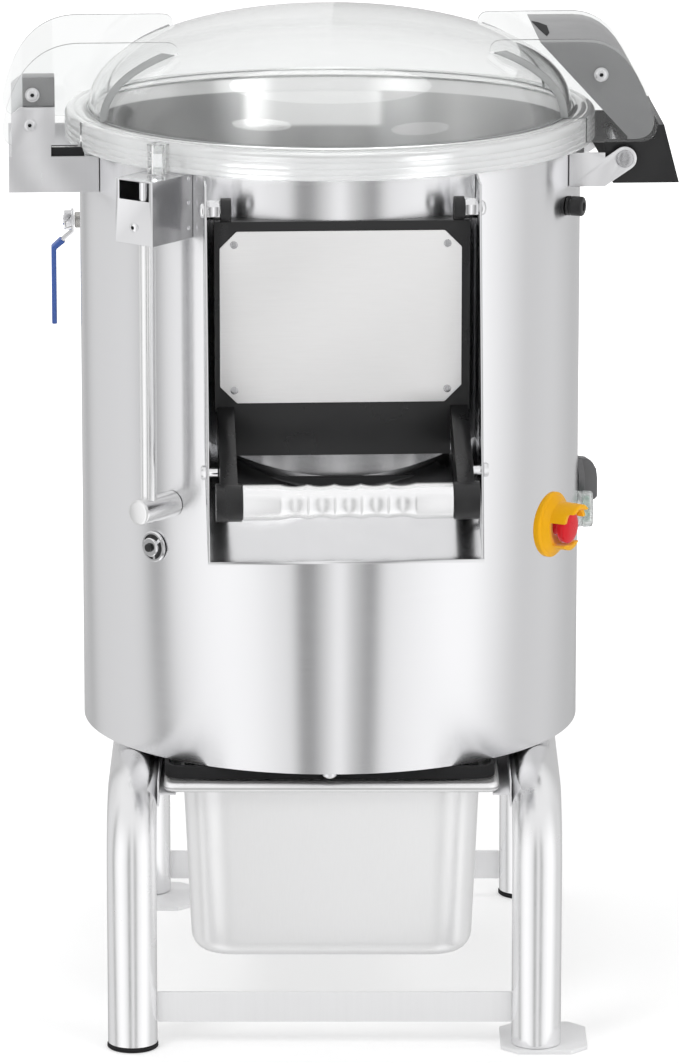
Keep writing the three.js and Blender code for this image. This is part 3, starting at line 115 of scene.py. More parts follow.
def carve(piece, *tools, operation="DIFFERENCE"):
    for tool in tools:
        apply(piece, "BOOLEAN", operation=operation, solver="EXACT", object=tool)
        bpy.data.objects.remove(tool)


def selectMesh(action="SELECT"):
    bpy.ops.mesh.select_all(action=action)


def startEdit():
    bpy.ops.object.mode_set(mode="EDIT")
    selectMesh()


def leaveEdit():
    selectMesh()
    bpy.ops.mesh.remove_doubles(threshold=0.002 * mm)
    bpy.ops.mesh.normals_make_consistent(inside=False)
    bpy.ops.object.mode_set(mode="OBJECT")
    return bpy.context.object


def drawOut(step):
    bpy.ops.mesh.extrude_region_move(TRANSFORM_OT_translate={"value": Vector(step) * mm})


def drawChain(points):
    # one vertex, drawn out along the points in edit mode
    deselectAll()
    bpy.ops.mesh.primitive_plane_add(size=mm, location=(0, 0, 0))
    startEdit()
    bpy.ops.mesh.merge(type="CENTER")
    bpy.ops.transform.translate(value=Vector(points[0]) * mm)
    for start, end in zip(points, points[1:]):
        drawOut(Vector(end) - Vector(start))


def lathe(profile, steps=96):
    # a profile of (radius, height), spun about the upright axis; one that starts off the axis is closed
    if profile[0][0] > 0:
        profile = profile + profile[:1]
    drawChain([(radius, 0, height) for radius, height in profile])
    selectMesh()
    bpy.ops.mesh.spin(steps=steps, angle=math.tau, center=(0, 0, 0), axis=(0, 0, 1))
    return leaveEdit()


def rod(radius, low, high, steps):
    return lathe([(0, low), (radius, low), (radius, high), (0, high)], steps)


def startTube(radius, sides, spot):
    # a ring in edit mode, drawn out and bent over by the two steps after it
    deselectAll()
    bpy.ops.mesh.primitive_circle_add(vertices=sides, radius=radius * mm, location=Vector(spot) * mm)
    startEdit()


def bendOver(centre, steps):
    bpy.ops.mesh.spin(steps=steps, angle=math.pi / 2, axis=(1, 0, 0), center=Vector(centre) * mm)


def plate(outline, low, high, faces="front"):
    # an outline filled and drawn out: front (x, z), side (y, z) or top (x, y)
    spots = {
        "front": lambda a, b: (a, low, b), "side": lambda a, b: (low, a, b), "top": lambda a, b: (a, b, low)}
    away = {"front": (0, 1, 0), "side": (1, 0, 0), "top": (0, 0, 1)}
    drawChain([spots[faces](a, b) for a, b in outline])
    selectMesh()
    bpy.ops.mesh.edge_face_add()
    drawOut(Vector(away[faces]) * (high - low))
    return leaveEdit()


def rectangle(left, right, low, high):
    return [(left, low), (right, low), (right, high), (left, high)]


def curved(start, control, end, share):
    return tuple(start * (1 - share) ** 2 + control * 2 * share * (1 - share) + end * share * share)


def roundCorners(points, radius, steps=5):
    outline = []
    for i, corner in enumerate(points):
        here = Vector(corner)
        before = Vector(points[i - 1]) - here
        after = Vector(points[(i + 1) % len(points)]) - here
        reach = radius / max(math.tan(before.angle(after) / 2), 0.05)
        reach = min(reach, before.length * 0.49, after.length * 0.49)
        a, b = here + before.normalized() * reach, here + after.normalized() * reach
        outline += [curved(a, here, b, k / steps) for k in range(steps + 1)]
    return outline


def curveTo(start, control, end, steps):
    return [curved(Vector(start), Vector(control), Vector(end), k / steps) for k in range(1, steps + 1)]


def quarter(steps, first=0):
    # sine and cosine at even steps round a quarter turn
    angles = [k / steps * math.pi / 2 for k in range(first, steps + 1)]
    return [(math.sin(angle), math.cos(angle)) for angle in angles]


def joined(first, *others):
    onlyThis(first)
    for other in others:
        other.select_set(True)
    bpy.ops.object.join()
    return bpy.context.object


def placed(piece, place):
    onlyThis(piece)
    piece.matrix_world = place @ piece.matrix_world
    bpy.ops.object.transform_apply(location=True, rotation=True, scale=True)
    return piece


def copyOf(piece):
    twin = bpy.data.objects.new(piece.name, piece.data.copy())
    bpy.context.scene.collection.objects.link(twin)
    return twin


def finished(piece, name, finish, body="base", place=None, smooth=32):
    # a piece named after a solid with _fine takes that solid's place
    piece.name = name
    piece.data.name = name
    if place is not None:
        placed(piece, place)
    onlyThis(piece)
    bpy.ops.object.shade_smooth_by_angle(angle=math.radians(smooth))
    piece.data.materials.clear()
    piece.data.materials.append(finish)
    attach(piece, body)
    if name.endswith("_fine"):
        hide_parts(name.removesuffix("_fine"))
    return piece


def refined(node, finish, body, edge, segments=3):
    # a merged copy of a solid, its flat faces made whole and its edges rounded
    piece = copyOf(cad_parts[node])
    onlyThis(piece)
    startEdit()
    bpy.ops.mesh.remove_doubles(threshold=0.01 * mm)
    bpy.ops.mesh.dissolve_limited(angle_limit=math.radians(1.0))
    bpy.ops.object.mode_set(mode="OBJECT")
    softEdges(piece, edge, segments, angle=34)
    return finished(piece, node + "_fine", finish, body, smooth=34)


# Colours from tones of 0 to 255
def grey(tone):
    share = tone / 255
    return ((share + 0.055) / 1.055) ** 2.4 if share > 0.04 else share / 12.92


def paint(red, green, blue):
    return (grey(red), grey(green), grey(blue), 1)


def even(level):
    return (level, level, level, 1)


def shaded(colour, share):
    return (colour[0] * share, colour[1] * share, colour[2] * share, 1)


# Shader nodes: each input takes a value or another node's output
def feed(node, feeds):
    for key, value in feeds.items():
        if isinstance(value, bpy.types.NodeSocket):
            node.id_data.links.new(value, node.inputs[key])
        else:
            node.inputs[key].default_value = value
    return node


def added(kind, feeds={}, tree=None, **settings):
    # without a tree it goes where the outputs that feed it are
    if tree is None:
        tree = next(value.id_data for value in feeds.values() if isinstance(value, bpy.types.NodeSocket))
    node = tree.nodes.new("ShaderNode" + kind)
    for key, value in settings.items():
        setattr(node, key, value)
    return feed(node, feeds)


def pattern(place, stretch, scale, detail=3.0, roughness=0.6):
    stretch = stretch if isinstance(stretch, tuple) else (stretch,) * 3
    mapping = added("Mapping", {"Vector": place, "Scale": stretch})
    feeds = {"Vector": mapping.outputs["Vector"], "Scale": scale, "Detail": detail, "Roughness": roughness}
    return added("TexNoise", feeds).outputs["Fac"]


def spread(source, low, high, fromLow=0.3, fromHigh=0.7):
    feeds = {"Value": source, "From Min": fromLow, "From Max": fromHigh, "To Min": low, "To Max": high}
    return added("MapRange", feeds).outputs["Result"]


def blended(factor, first, second, blend="MIX"):
    feeds = {"Factor": factor, "A": first, "B": second}
    return added("Mix", feeds, data_type="RGBA", blend_type=blend).outputs["Result"]


def dimmed(tone, mask, share):
    # the tone, down to a share of it where the mask is one
    return blended(1, tone, blended(mask, even(1), even(share)), "MULTIPLY")


def twoTone(source, look):
    tones = [shaded(look["colour"], 1 + side * look["tone"]) for side in (-1, 1)]
    return blended(spread(source, 0, 1), *tones)


def summed(first, second, operation="ADD"):
    return added("Math", {0: first, 1: second}, operation=operation).outputs["Value"]


def mixed(factor, first, second):
    return added("MixShader", {"Fac": factor, 1: first, 2: second}).outputs["Shader"]


def bumped(source, strength, distance):
    feeds = {"Height": source, "Strength": strength, "Distance": distance * mm}
    return added("Bump", feeds).outputs["Normal"]


def lengthOf(source):
    return added("VectorMath", {0: source}, operation="LENGTH").outputs["Value"]


def fromAxis(place):
    # distance from the drum's upright axis
    out = added(
        "VectorMath", {0: place, 1: (1, 1, 0), 2: (-drumAxis.x, -drumAxis.y, 0)}, operation="MULTIPLY_ADD")
    return lengthOf(out.outputs["Vector"])


def along(place, axis):
    return added("SeparateXYZ", {"Vector": place}).outputs[axis]


def zoneOf(place, bands):
    # one between low and high along each axis, nought past the soft edges
    edges = []
    for axis, (low, high, soft) in bands.items():
        level = along(place, axis)
        edges.append(spread(level, 0, 1, low - soft, low + soft))
        edges.append(spread(level, 1, 0, high - soft, high + soft))
    zone = edges[0]
    for edge in edges[1:]:
        zone = summed(zone, edge, "MULTIPLY")
    return zone


def toneRamp(factor, stops):
    # a colour ramp through rows of (position, colour)
    ramp = added("ValToRGB", {"Fac": factor})
    elements = ramp.color_ramp.elements
    elements.remove(elements[1])
    for k, (position, colour) in enumerate(stops):
        stop = elements.new(position) if k else elements[0]
        stop.position = position
        stop.color = colour
    return ramp.outputs["Color"]


def clearedTree(owner):
    owner.use_nodes = True
    owner.node_tree.nodes.clear()
    return owner.node_tree


def startFinish(name):
    material = bpy.data.materials.new(name)
    tree = clearedTree(material)
    shader = added("BsdfPrincipled", tree=tree)
    added("OutputMaterial", {"Surface": shader.outputs["BSDF"]})
    return material, shader, added("TexCoord", tree=tree).outputs["Object"]


steelBase = {
    "tone": 0.02, "lines": 0.02, "marks": 0.02, "stretch": 40, "bump": 0.006, "deep": 0.05, "metal": 1.0,
    "markScale": 9.0}


def steelFinish(name, slot, colour, **look):
    # brushed lines along the slow directions of the stretch, with faint handling marks
    look = {**steelBase, "colour": colour, **look}
    material, shader, place = startFinish(name)
    lines = pattern(place, look["stretch"], 1.0, 5.0, 0.62)
    marks = pattern(place, 1, look["markScale"])
    tone, metal = twoTone(lines, look), look["metal"]
    fromLines = spread(lines, look["rough"] - look["lines"], look["rough"] + look["lines"])
    fromMarks = spread(marks, -look["marks"], look["marks"])
    if "drawn" in look:  # brushing round the upright axis draws reflections out upwards
        tangent = added("Tangent", tree=place.id_data, direction_type="RADIAL", axis="Z").outputs["Tangent"]
        feed(shader, {"Anisotropic": look["drawn"], "Anisotropic Rotation": 0.25, "Tangent": tangent})
    for band in look.get("bands", ()):  # painted shadow lines where the rim is rolled
        tone = dimmed(tone, zoneOf(place, {"Z": band}), look["bandShare"])
    # painted shade on one side of the piece
    if "shade" in look:
        tone = paintedSideShade(place, tone, look["colour"], look["shade"])
    # painted reflection, painted glow and painted shadow on the drum wall
    if "inside" in look:
        tone, metal = paintedInsideLight(shader, place, tone, look["inside"])
    feed(
        shader, {"Base Color": tone, "Metallic": metal, "Roughness": summed(fromLines, fromMarks),
        "Normal": bumped(lines, look["bump"], look["deep"])})
    return material


def paintedSideShade(place, tone, colour, look):
    # painted shade: the side turned to the door is darkened, standing for the dark door it mirrors
    across = station(look["turn"], 0).to_3x3() @ Vector((1, 0, 0))
    side = added("VectorMath", {0: place, 1: across}, operation="DOT_PRODUCT").outputs["Value"]
    edge = across.dot(drumAxis) + look["edge"] * mm
    dark = spread(side, 0, 1, edge, edge + look["soft"] * mm)
    return blended(dark, tone, shaded(colour, look["share"]))


def paintedInsideLight(shader, place, tone, look):
    # the inner face of the drum: painted reflection, darker at the sides with a painted highlight in the
    # middle, and a painted glow
    reach, top, soft = look["reach"], look["paintedReflection"]["Z"][1], look["soft"]
    paintedReflection = zoneOf(place, look["paintedReflection"])
    # painted reflection: tones set by the place across the inner wall
    sides = toneRamp(
        spread(along(place, "X"), 0, 1, -reach, reach),
        [(position, even(level)) for position, level in look["tones"]])
    upper = spread(along(place, "Z"), 0, 1, top - soft, top + soft)
    inner = blended(upper, blended(paintedReflection, sides, even(1)), even(look["upper"]))
    within = spread(fromAxis(place), 1, 0, reach - look["skin"][0], reach - look["skin"][1])
    glow = summed(summed(upper, paintedReflection), within, "MULTIPLY")
    # painted glow: emission on the inner wall, strongest in the painted highlight
    feed(shader, {"Emission Strength": spread(glow, 0, look["paintedGlow"]), "Emission Color": even(1)})
    outer = dimmed(tone, zoneOf(place, look["under"]), look["paintedShadowShare"])  # painted shadow: the outer wall darkened in the door's shade
    return blended(within, outer, inner), spread(within, 1.0, look["metal"], 0, 1)


mouldedBase = {
    "tone": 0.06, "vary": 0.06, "grain": 1500, "bump": 0.08, "deep": 0.04, "specular": 0.5, "coat": 0.0,
    "coatRough": 0.12, "cloud": 22.0}


def mouldedFinish(name, slot, tones, **look):
    # moulded plastic, rubber or paint: fine grain, faint cloudiness and worn gloss
    look = {**mouldedBase, "colour": paint(*tones), **look}
    material, shader, place = startFinish(name)
    grain = pattern(place, 1, look["grain"])
    cloud = pattern(place, 1, look["cloud"], 4.0)
    rough = spread(cloud, look["rough"] - look["vary"], look["rough"] + look["vary"])
    feed(
        shader, {"Base Color": twoTone(cloud, look), "Roughness": rough,
        "Specular IOR Level": look["specular"], "Coat Weight": look["coat"],
        "Coat Roughness": look["coatRough"], "Normal": bumped(grain, look["bump"], look["deep"])})
    return material


clearBase = {
    "colour": (0.985, 0.992, 0.99, 1), "ior": 1.47, "rough": 0.008, "vary": 0.02, "clear": 1.0, "haze": 14.0,
    "hazeShare": 0.985}


def clearFinish(name, **look):
    look = {**clearBase, **look}
    material, shader, place = startFinish(name)
    clear = look["clear"]
    if "milky" in look:  # thick edge: less clear past a distance from the drum's axis, with a painted glow there
        near, far, share, paintedGlow = look["milky"]
        reach = fromAxis(place)
        clear = spread(reach, 1.0, share, near * mm, far * mm)
        # painted glow: emission on the lid's thick edge
        glow = spread(reach, 0, paintedGlow, near * mm, far * mm)
        feed(shader, {"Emission Strength": glow, "Emission Color": even(1)})
    haze = pattern(place, 1, look["haze"], 4.0)
    tone = blended(spread(haze, 0, 1), look["colour"], shaded(look["colour"], look["hazeShare"]))
    rough = spread(haze, look["rough"], look["rough"] + look["vary"])
    feed(shader, {"Base Color": tone, "Roughness": rough, "IOR": look["ior"], "Transmission Weight": clear})
    return material


def gritFinish(name, look):
    # bonded grit: sharp grains, dark pits and lighter crystals
    material, shader, place = startFinish(name)
    cells = added("TexVoronoi", {"Vector": place, "Scale": look["grains"]}).outputs["Distance"]
    fine = pattern(place, 1, look["grains"] * look["fineShare"], 5.0, 0.7)
    tone = blended(spread(fine, 0, 1), look["dark"], look["light"])
    feed(
        shader, {"Base Color": tone, "Roughness": spread(fine, *look["rough"]),
        "Normal": bumped(summed(cells, fine), look["bump"], look["deep"])})
    return material


# Bands are (low, high, soft edge) in metres
# painted light for the drum wall: reflection tones across the inside, a painted highlight zone, a glow and a
# painted shadow below the door
paintedInsideLook = {
    "reach": 0.245, "soft": 0.001, "skin": (0.0006, 0.0003), "upper": 0.9, "paintedGlow": 0.16, "metal": 0.45,
    "tones": (
        (0.0, 0.42), (0.2, 0.48), (0.42, 0.62), (0.62, 0.62), (0.75, 0.82), (0.86, 0.6), (0.93, 0.45),
        (1.0, 0.42)),
    "paintedReflection": {"Z": (0.818, 0.858, 0.003), "X": (-0.094, 0.044, 0.006)},
    "under": {"Z": (0.55, 0.597, 0.002), "X": (-0.112, 0.104, 0.002), "Y": (-1, 0, 0.001)}, "paintedShadowShare": 0.6}
# painted shade on the sensor box's side facing the door
boxPaintedShade = {"turn": -40, "edge": 22, "soft": 0.3, "share": 0.62}
# painted shadow lines along the pan's rolled rim
panShadowBands = ((0.2494, 0.2512, 0.0004), (0.2455, 0.2472, 0.0004))
sheetLook = {"tone": 0.01, "rough": 0.30, "stretch": (420, 420, 9), "bump": 0.0, "metal": 0.85}

wallSteel = steelFinish(
    "brushedSteel", "brushed_steel", (0.82, 0.82, 0.83), tone=0.014, rough=0.24, lines=0.025, marks=0.01,
    stretch=(9, 9, 1500), markScale=5.0, drawn=0.85, inside=paintedInsideLook)
chuteSteel = steelFinish(
    "chuteSteel", "sheet_steel", (0.80, 0.80, 0.81), lines=0.03, rough=0.15, stretch=30, bump=0.02)
boxSteel = steelFinish(
    "boxSteel", "sheet_steel", (0.84, 0.84, 0.85), tone=0.014, rough=0.2, stretch=(500, 500, 20),
    shade=boxPaintedShade)
sheetSteel = steelFinish("sheetSteel", "sheet_steel", (0.87, 0.87, 0.88), **sheetLook)
catchSteel = steelFinish("catchSteel", "sheet_steel", (0.77, 0.77, 0.78), **sheetLook)
barSteel = steelFinish(
    "barSteel", "sheet_steel", (0.93, 0.93, 0.935), **{**sheetLook, "rough": 0.45, "metal": 0.6})
plateSteel = steelFinish(
    "doorPlateSteel", "brushed_steel", (0.935, 0.93, 0.925), tone=0.022, rough=0.36, lines=0.04,
    stretch=(40, 40, 2200), bump=0.03, metal=0.7)
panSteel = steelFinish(
    "panSteel", "brushed_steel", (0.985, 0.985, 0.985), lines=0.03, tone=0.012, rough=0.33, marks=0.03,
    stretch=(900, 900, 60), metal=0.72, bands=panShadowBands, bandShare=0.6)
tubeSteel = steelFinish("tubeSteel", "polished_steel", (0.90, 0.90, 0.905), tone=0.012, rough=0.25)
conduitSteel = steelFinish(
    "conduitSteel", "brushed_steel", (0.87, 0.87, 0.87), lines=0.03, tone=0.015, rough=0.22, metal=0.9)
polishedSteel = steelFinish(
    "polishedSteel", "polished_steel", (0.86, 0.86, 0.87), rough=0.10, stretch=60, bump=0.012)
screwSteel = steelFinish(
    "screwSteel", "polished_steel", (0.50, 0.50, 0.51), tone=0.06, rough=0.28, lines=0.05, marks=0.03,
    stretch=200, bump=0.03)
boltSteel = steelFinish(
    "boltSteel", "polished_steel", (0.74, 0.74, 0.75), lines=0.03, tone=0.05, rough=0.3, marks=0.03,
    stretch=300, bump=0.02, metal=0.8)
valveSteel = steelFinish(
    "valveSteel", "polished_steel", (0.5, 0.49, 0.47), tone=0.12, rough=0.3, lines=0.05, marks=0.05,
    stretch=200, bump=0.02)
# polishing streaks along the grip; their light and dark tone is also a painted highlight for the grip's
# reflection bands
gripAlloy = steelFinish(
    "polishedAlloy", "polished_alloy", (0.97, 0.97, 0.975), tone=0.04, rough=0.24, lines=0.04,
    stretch=(7, 95, 95), bump=0.01, metal=0.8)
castAlloy = steelFinish(
    "castAlloy", "cast_alloy", (0.62, 0.63, 0.64), tone=0.08, rough=0.5, lines=0.08, marks=0.05, stretch=420,
    bump=0.35, deep=0.3)
clearSheet = clearFinish("clearSheet")
lidSheet = clearFinish("lidSheet", milky=(237, 242, 0.7, 0.03))
clearBoot = clearFinish("clearBoot", colour=(0.96, 0.975, 0.97, 1), ior=1.41, rough=0.1, vary=0.05, clear=0.7)
beadClear = clearFinish("beadClear", colour=(0.62, 0.63, 0.63, 1), ior=1.3, rough=0.16, vary=0.05, clear=0.55)
coverGrey = mouldedFinish(
    "greyPlastic", "grey_plastic", (134, 134, 135), tone=0.05, rough=0.36, grain=1400, bump=0.06)
knobGrey = mouldedFinish("knobPlastic", "grey_plastic", (103, 103, 104), rough=0.42, grain=2200, bump=0.12)
seamGrey = mouldedFinish(
    "seamGrey", "grey_plastic", (150, 152, 152), tone=0.04, rough=0.4, vary=0.05, bump=0.02)
doorBlack = mouldedFinish("blackPlastic", "black_plastic", (24, 24, 25), tone=0.12, rough=0.30, grain=1800)
blackRubber = mouldedFinish(
    "blackRubber", "black_rubber", (34, 34, 35), tone=0.15, rough=0.8, vary=0.1, bump=0.25, specular=0.3)
sealSilicone = mouldedFinish("sealSilicone", "grey_plastic", (226, 228, 228), tone=0.03, rough=0.5, vary=0.05)
signalYellow = mouldedFinish(
    "yellowPlastic", "yellow_plastic", (255, 186, 0), tone=0.05, rough=0.42, grain=2000, specular=0.25)
signalRed = mouldedFinish(
    "redPlastic", "red_plastic", (228, 10, 30), rough=0.28, vary=0.05, grain=2400, bump=0.05, specular=0.3)
startGreen = mouldedFinish(
    "greenPlastic", "green_plastic", (120, 190, 160), rough=0.3, vary=0.05, grain=2000, bump=0.06)
leverBlue = mouldedFinish(
    "blueVinyl", "blue_vinyl", (62, 96, 172), tone=0.08, rough=0.4, vary=0.08, bump=0.12, coat=0.2)
motorPaint = mouldedFinish(
    "paintedMotor", "painted_motor", (91, 102, 112), tone=0.08, rough=0.5, vary=0.08, grain=700, bump=0.3,
    deep=0.1)
grit = gritFinish(
    "abrasiveGrit", {"grains": 420, "fineShare": 1.7, "dark": (0.05, 0.045, 0.04, 1),
    "light": (0.22, 0.21, 0.19, 1), "rough": (0.75, 1.0), "bump": 0.9, "deep": 1.2})
print("finishes made")

# Solids whose shape is right keep it and take a finish
keptNodes = {
    "chamber_floor": sheetSteel, "abrasive_liner": grit, "top_seal": sealSilicone, "drain_spout": sheetSteel,
    "drive_shaft": polishedSteel, "drive_belt": blackRubber, "lid_magnet": polishedSteel,
    "splash_skirt": blackRubber}
for nodeName, finish in keptNodes.items():
    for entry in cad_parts[nodeName].material_slots:
        entry.link = "OBJECT"
        entry.material = finish

# Stand
leftLeg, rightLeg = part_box("leg_frame_left"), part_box("leg_frame_right")
standShift = Vector((leftLeg[0].x + rightLeg[1].x, leftLeg[0].y + leftLeg[1].y, 0)) / 2
legLook = {
    "radius": 24, "wall": 2, "bend": 70, "span": 391, "reach": 516, "top": 269.1, "sides": 64,
    "bendSteps": 20}


def makeLeg(name, side, frontLow, rearLow):
    bend, steps, halfReach = legLook["bend"], legLook["bendSteps"], legLook["reach"] / 2
    x = side * legLook["span"] / 2
    run = legLook["top"] - legLook["radius"]
    startTube(legLook["radius"], legLook["sides"], (x, -halfReach, frontLow))
    drawOut((0, 0, run - bend - frontLow))
    bendOver((x, bend - halfReach, run - bend), steps)
    drawOut((0, legLook["reach"] - 2 * bend, 0))
    bendOver((x, halfReach - bend, run - bend), steps)
    drawOut((0, 0, rearLow - run + bend))
    leg = leaveEdit()
    apply(leg, "SOLIDIFY", thickness=legLook["wall"] * mm, offset=-1)
    softEdges(leg, 0.5, 2)
    finished(leg, name + "_fine", tubeSteel, place=Matrix.Translation(standShift), smooth=40)


makeLeg("leg_frame_left", -1, 5.0, 4.4)
makeLeg("leg_frame_right", 1, 4.4, 5.0)

footLook = {"radius": 24, "rim": 0.8, "height": 4.6}
foot, rim, height = footLook["radius"], footLook["radius"] + footLook["rim"], footLook["height"]
for nodeName in ("rubber_foot_front_left", "rubber_foot_rear_right"):
    pad = lathe(
        [(0, 0), (foot - 0.6, 0), (foot + 0.2, 0.5), (rim, 1.1), (rim, 1.9), (foot + 0.3, 2.3), (rim, 2.7),
        (rim, 3.6), (foot + 0.3, height - 0.2), (foot - 0.4, height), (0, height)], 64)
    finished(pad, nodeName + "_fine", blackRubber, place=Matrix.Translation(middleOf(nodeName)))

for nodeName in ("anchor_plate_front_right", "anchor_plate_rear_left", "front_cross_bar", "rear_cross_bar"):
    refined(nodeName, barSteel, "base", 0.8)
for nodeName in ("pan_rail_left", "pan_rail_right", "base_plate"):
    refined(nodeName, sheetSteel, "base", 0.4, 2)

panLook = {
    "rim": (325, 354), "rimCorner": 14, "body": (286, 315), "corner": 45, "depth": 183, "taper": 0.055,
    "wall": 1.5, "roll": 4.5, "rollFrom": 125, "rollStep": 20, "brim": 1.7, "sunk": 0.9, "floorRound": 16,
    "flare": 6}


def bridged(levels):
    # rings drawn one above the other and bridged: (width, length, corner, level)
    rings = []
    for wide, long, corner, level in levels:
        outline = roundCorners(rectangle(-wide / 2, wide / 2, -long / 2, long / 2), corner, 10)
        drawChain([(x, y, level) for x, y in outline + outline[:1]])
        rings.append(leaveEdit())
    shape = joined(*rings)
    startEdit()
    bpy.ops.mesh.bridge_edge_loops()
    selectMesh("DESELECT")
    bpy.ops.object.mode_set(mode="OBJECT")
    return shape


def makePan():
    top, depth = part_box("waste_pan")[1].z / mm, panLook["depth"]
    (width, length), corner = panLook["body"], panLook["corner"]
    soft, flare, roll, narrow = panLook["floorRound"], panLook["flare"], panLook["roll"], 1 - panLook["taper"]
    body = []
    for sine, cosine in quarter(6):  # the rounded edge of the floor
        inward, up = soft * (1 - sine), soft * (1 - cosine)
        share = narrow + (1 - narrow) * up / depth
        body.append(
            (width * share - 2 * inward, length * share - 2 * inward, max(corner * share - inward, 4),
            top - depth + up))
    body.append((width, length, corner, top - flare))
    flat = top - panLook["sunk"]
    for sine, cosine in quarter(4, 1):  # the flare into the rim
        out = flare * (1 - cosine)
        body.append(
            (width + 2 * out, length + 2 * out, corner + out, top - flare + (flat - top + flare) * sine))
    rimWidth, rimLength = panLook["rim"]
    edge = []
    for k in range(11):  # the rolled edge, from its inner top round to its underside
        angle = math.radians(panLook["rollFrom"] - panLook["rollStep"] * k)
        out = roll * (math.cos(angle) - 1)
        edge.append(
            (rimWidth + 2 * out, rimLength + 2 * out, panLook["rimCorner"] + out,
            top - roll + roll * math.sin(angle)))
    inset = panLook["brim"] * roll
    brim = (rimWidth - 2 * inset, rimLength - 2 * inset, panLook["rimCorner"] - inset, flat + 0.01)
    pan = joined(bridged(body), bridged([body[-1], brim]), bridged([brim] + edge[:3]), bridged(edge[2:]))
    floorLevel = min(vertex.co.z for vertex in pan.data.vertices)
    for vertex in pan.data.vertices:
        vertex.select = vertex.co.z < floorLevel + 0.05 * mm
    bpy.ops.object.mode_set(mode="EDIT")
    bpy.ops.mesh.edge_face_add()
    pan = leaveEdit()
    apply(pan, "SOLIDIFY", thickness=panLook["wall"] * mm, offset=-1)
    finished(pan, "waste_pan_fine", panSteel, "pan", Matrix.Translation(middleOf("waste_pan")), smooth=40)


makePan()
print("stand made")

# Drum wall
drumLook = {
    "radius": 245, "sheet": 2, "height": 602.5, "sides": 256, "opening": (-100, 100, 319, 534.5),
    "pipeHole": (9.5, 530.5, -124.9)}
wallOut = 245.7  # where what sits on the wall starts


def makeShell():
    radius, height = drumLook["radius"], drumLook["height"]
    deselectAll()
    bpy.ops.mesh.primitive_cylinder_add(
        vertices=drumLook["sides"], radius=radius * mm, depth=height * mm, end_fill_type="NOTHING",
        location=(0, 0, height / 2 * mm))
    bpy.ops.object.transform_apply(location=True)
    wall = bpy.context.object
    apply(wall, "SOLIDIFY", thickness=drumLook["sheet"] * mm, offset=-1)
    softEdges(wall, 0.5, 2)
    opening = plate(roundCorners(rectangle(*drumLook["opening"]), 4), -radius - 5, 0)
    holeRadius, level, turn = drumLook["pipeHole"]
    hole = placed(rod(holeRadius, 100, radius + 5, 32), turned(turn) @ moved(z=level) @ facingFront)
    carve(wall, opening, hole)
    finished(wall, "drum_shell_fine", wallSteel, place=drumPlace)


makeShell()
refined("chute", chuteSteel, "base", 0.5, 2)
print("drum made")


# Screws and heads, each modelled once and copied
def capHead(radius, height, socket=0.0):
    # domed head with a hexagon socket, standing up from its seat
    crown = [(radius * cosine * 0.98, height * (0.35 + 0.65 * sine)) for sine, cosine in quarter(6, 1)]
    head = lathe([(0, 0), (radius, 0), (radius, height * 0.35)] + crown, 40)
    if socket:
        carve(head, rod(socket, height * 0.45, height * 2, 6))
    return head


def makeScrew(name, place, body, radius, height, socket, finish, washer=0):
    lift = 0.6 if washer else 0
    head = placed(capHead(radius, height, socket), moved(z=lift))
    if washer:
        head = joined(head, lathe([(0, 0), (washer, 0), (washer, lift), (radius, 0.8), (0, 0.8)], 40))
    finished(head, name, finish, body, place)
    # a black disc at the socket's floor: painted shade standing for the shadow inside the hex socket
    bottom = rod(socket * 0.98, height * 0.46 + lift, height * 0.5 + lift, 6)
    finished(bottom, name + "_socket", blackRubber, body, place)


def copies(master, name, finish, body, places):
    for place in places:
        finished(copyOf(master), name, finish, body, place)
    bpy.data.objects.remove(master)


# Door
doorPlateLook = {
    "width": 229, "low": 368, "height": 165.5, "chamfer": 16, "shift": -1.5, "back": -248.4, "sheet": 1.5,
    "screw": (3.6, 1.6, 1.5), "screwInset": (13.5, 12.5)}
refined("door_leaf", doorBlack, "door", 1.2)
refined("door_arm_left", doorBlack, "door", 1.6)
refined("door_arm_right", doorBlack, "door", 1.6)


def makeDoorPlate():
    width, low, height, c, back, sheet = pick(
        doorPlateLook, "width", "low", "height", "chamfer", "back", "sheet")
    x, high, front = width / 2, low + height, back - sheet
    outline = [
        (c - x, low), (x - c, low), (x, low + c), (x, high - c), (x - c, high), (c - x, high),
        (-x, high - c), (-x, low + c)]
    face = plate(roundCorners(outline, 2.5, 3), front, back)
    softEdges(face, 0.35, 2)
    aside = drumPlace @ moved(doorPlateLook["shift"])
    finished(face, "door_plate_fine", plateSteel, "door", aside)
    insetX, insetZ = doorPlateLook["screwInset"]
    copies(
        capHead(*doorPlateLook["screw"]), "door_plate_screw", screwSteel, "door",
        [aside @ moved(side * (x - insetX), front, z) @ facingFront
         for side in (-1, 1) for z in (low + insetZ, high - insetZ)])


makeDoorPlate()
sealLook = {"inner": 245.15, "outer": 255, "half": 27, "steps": 24, "low": 556, "high": 565}
turns = [
    math.radians(sealLook["half"] * (2 * k / sealLook["steps"] - 1)) for k in range(sealLook["steps"] + 1)]
arc = [
    (reach * math.sin(turn), -reach * math.cos(turn))
    for reach, way in ((sealLook["outer"], turns), (sealLook["inner"], turns[::-1])) for turn in way]
sill = plate(arc, sealLook["low"] - drumAxis.z / mm, sealLook["high"] - drumAxis.z / mm, "top")
softEdges(sill, 0.4, 2)
finished(sill, "sill_seal", blackRubber, place=drumPlace)

gripLook = {
    "radius": 17, "length": 198.2, "level": 295.5, "reach": -352, "grooves": 5, "width": 25.1, "depth": 2.0,
    "steps": 16}


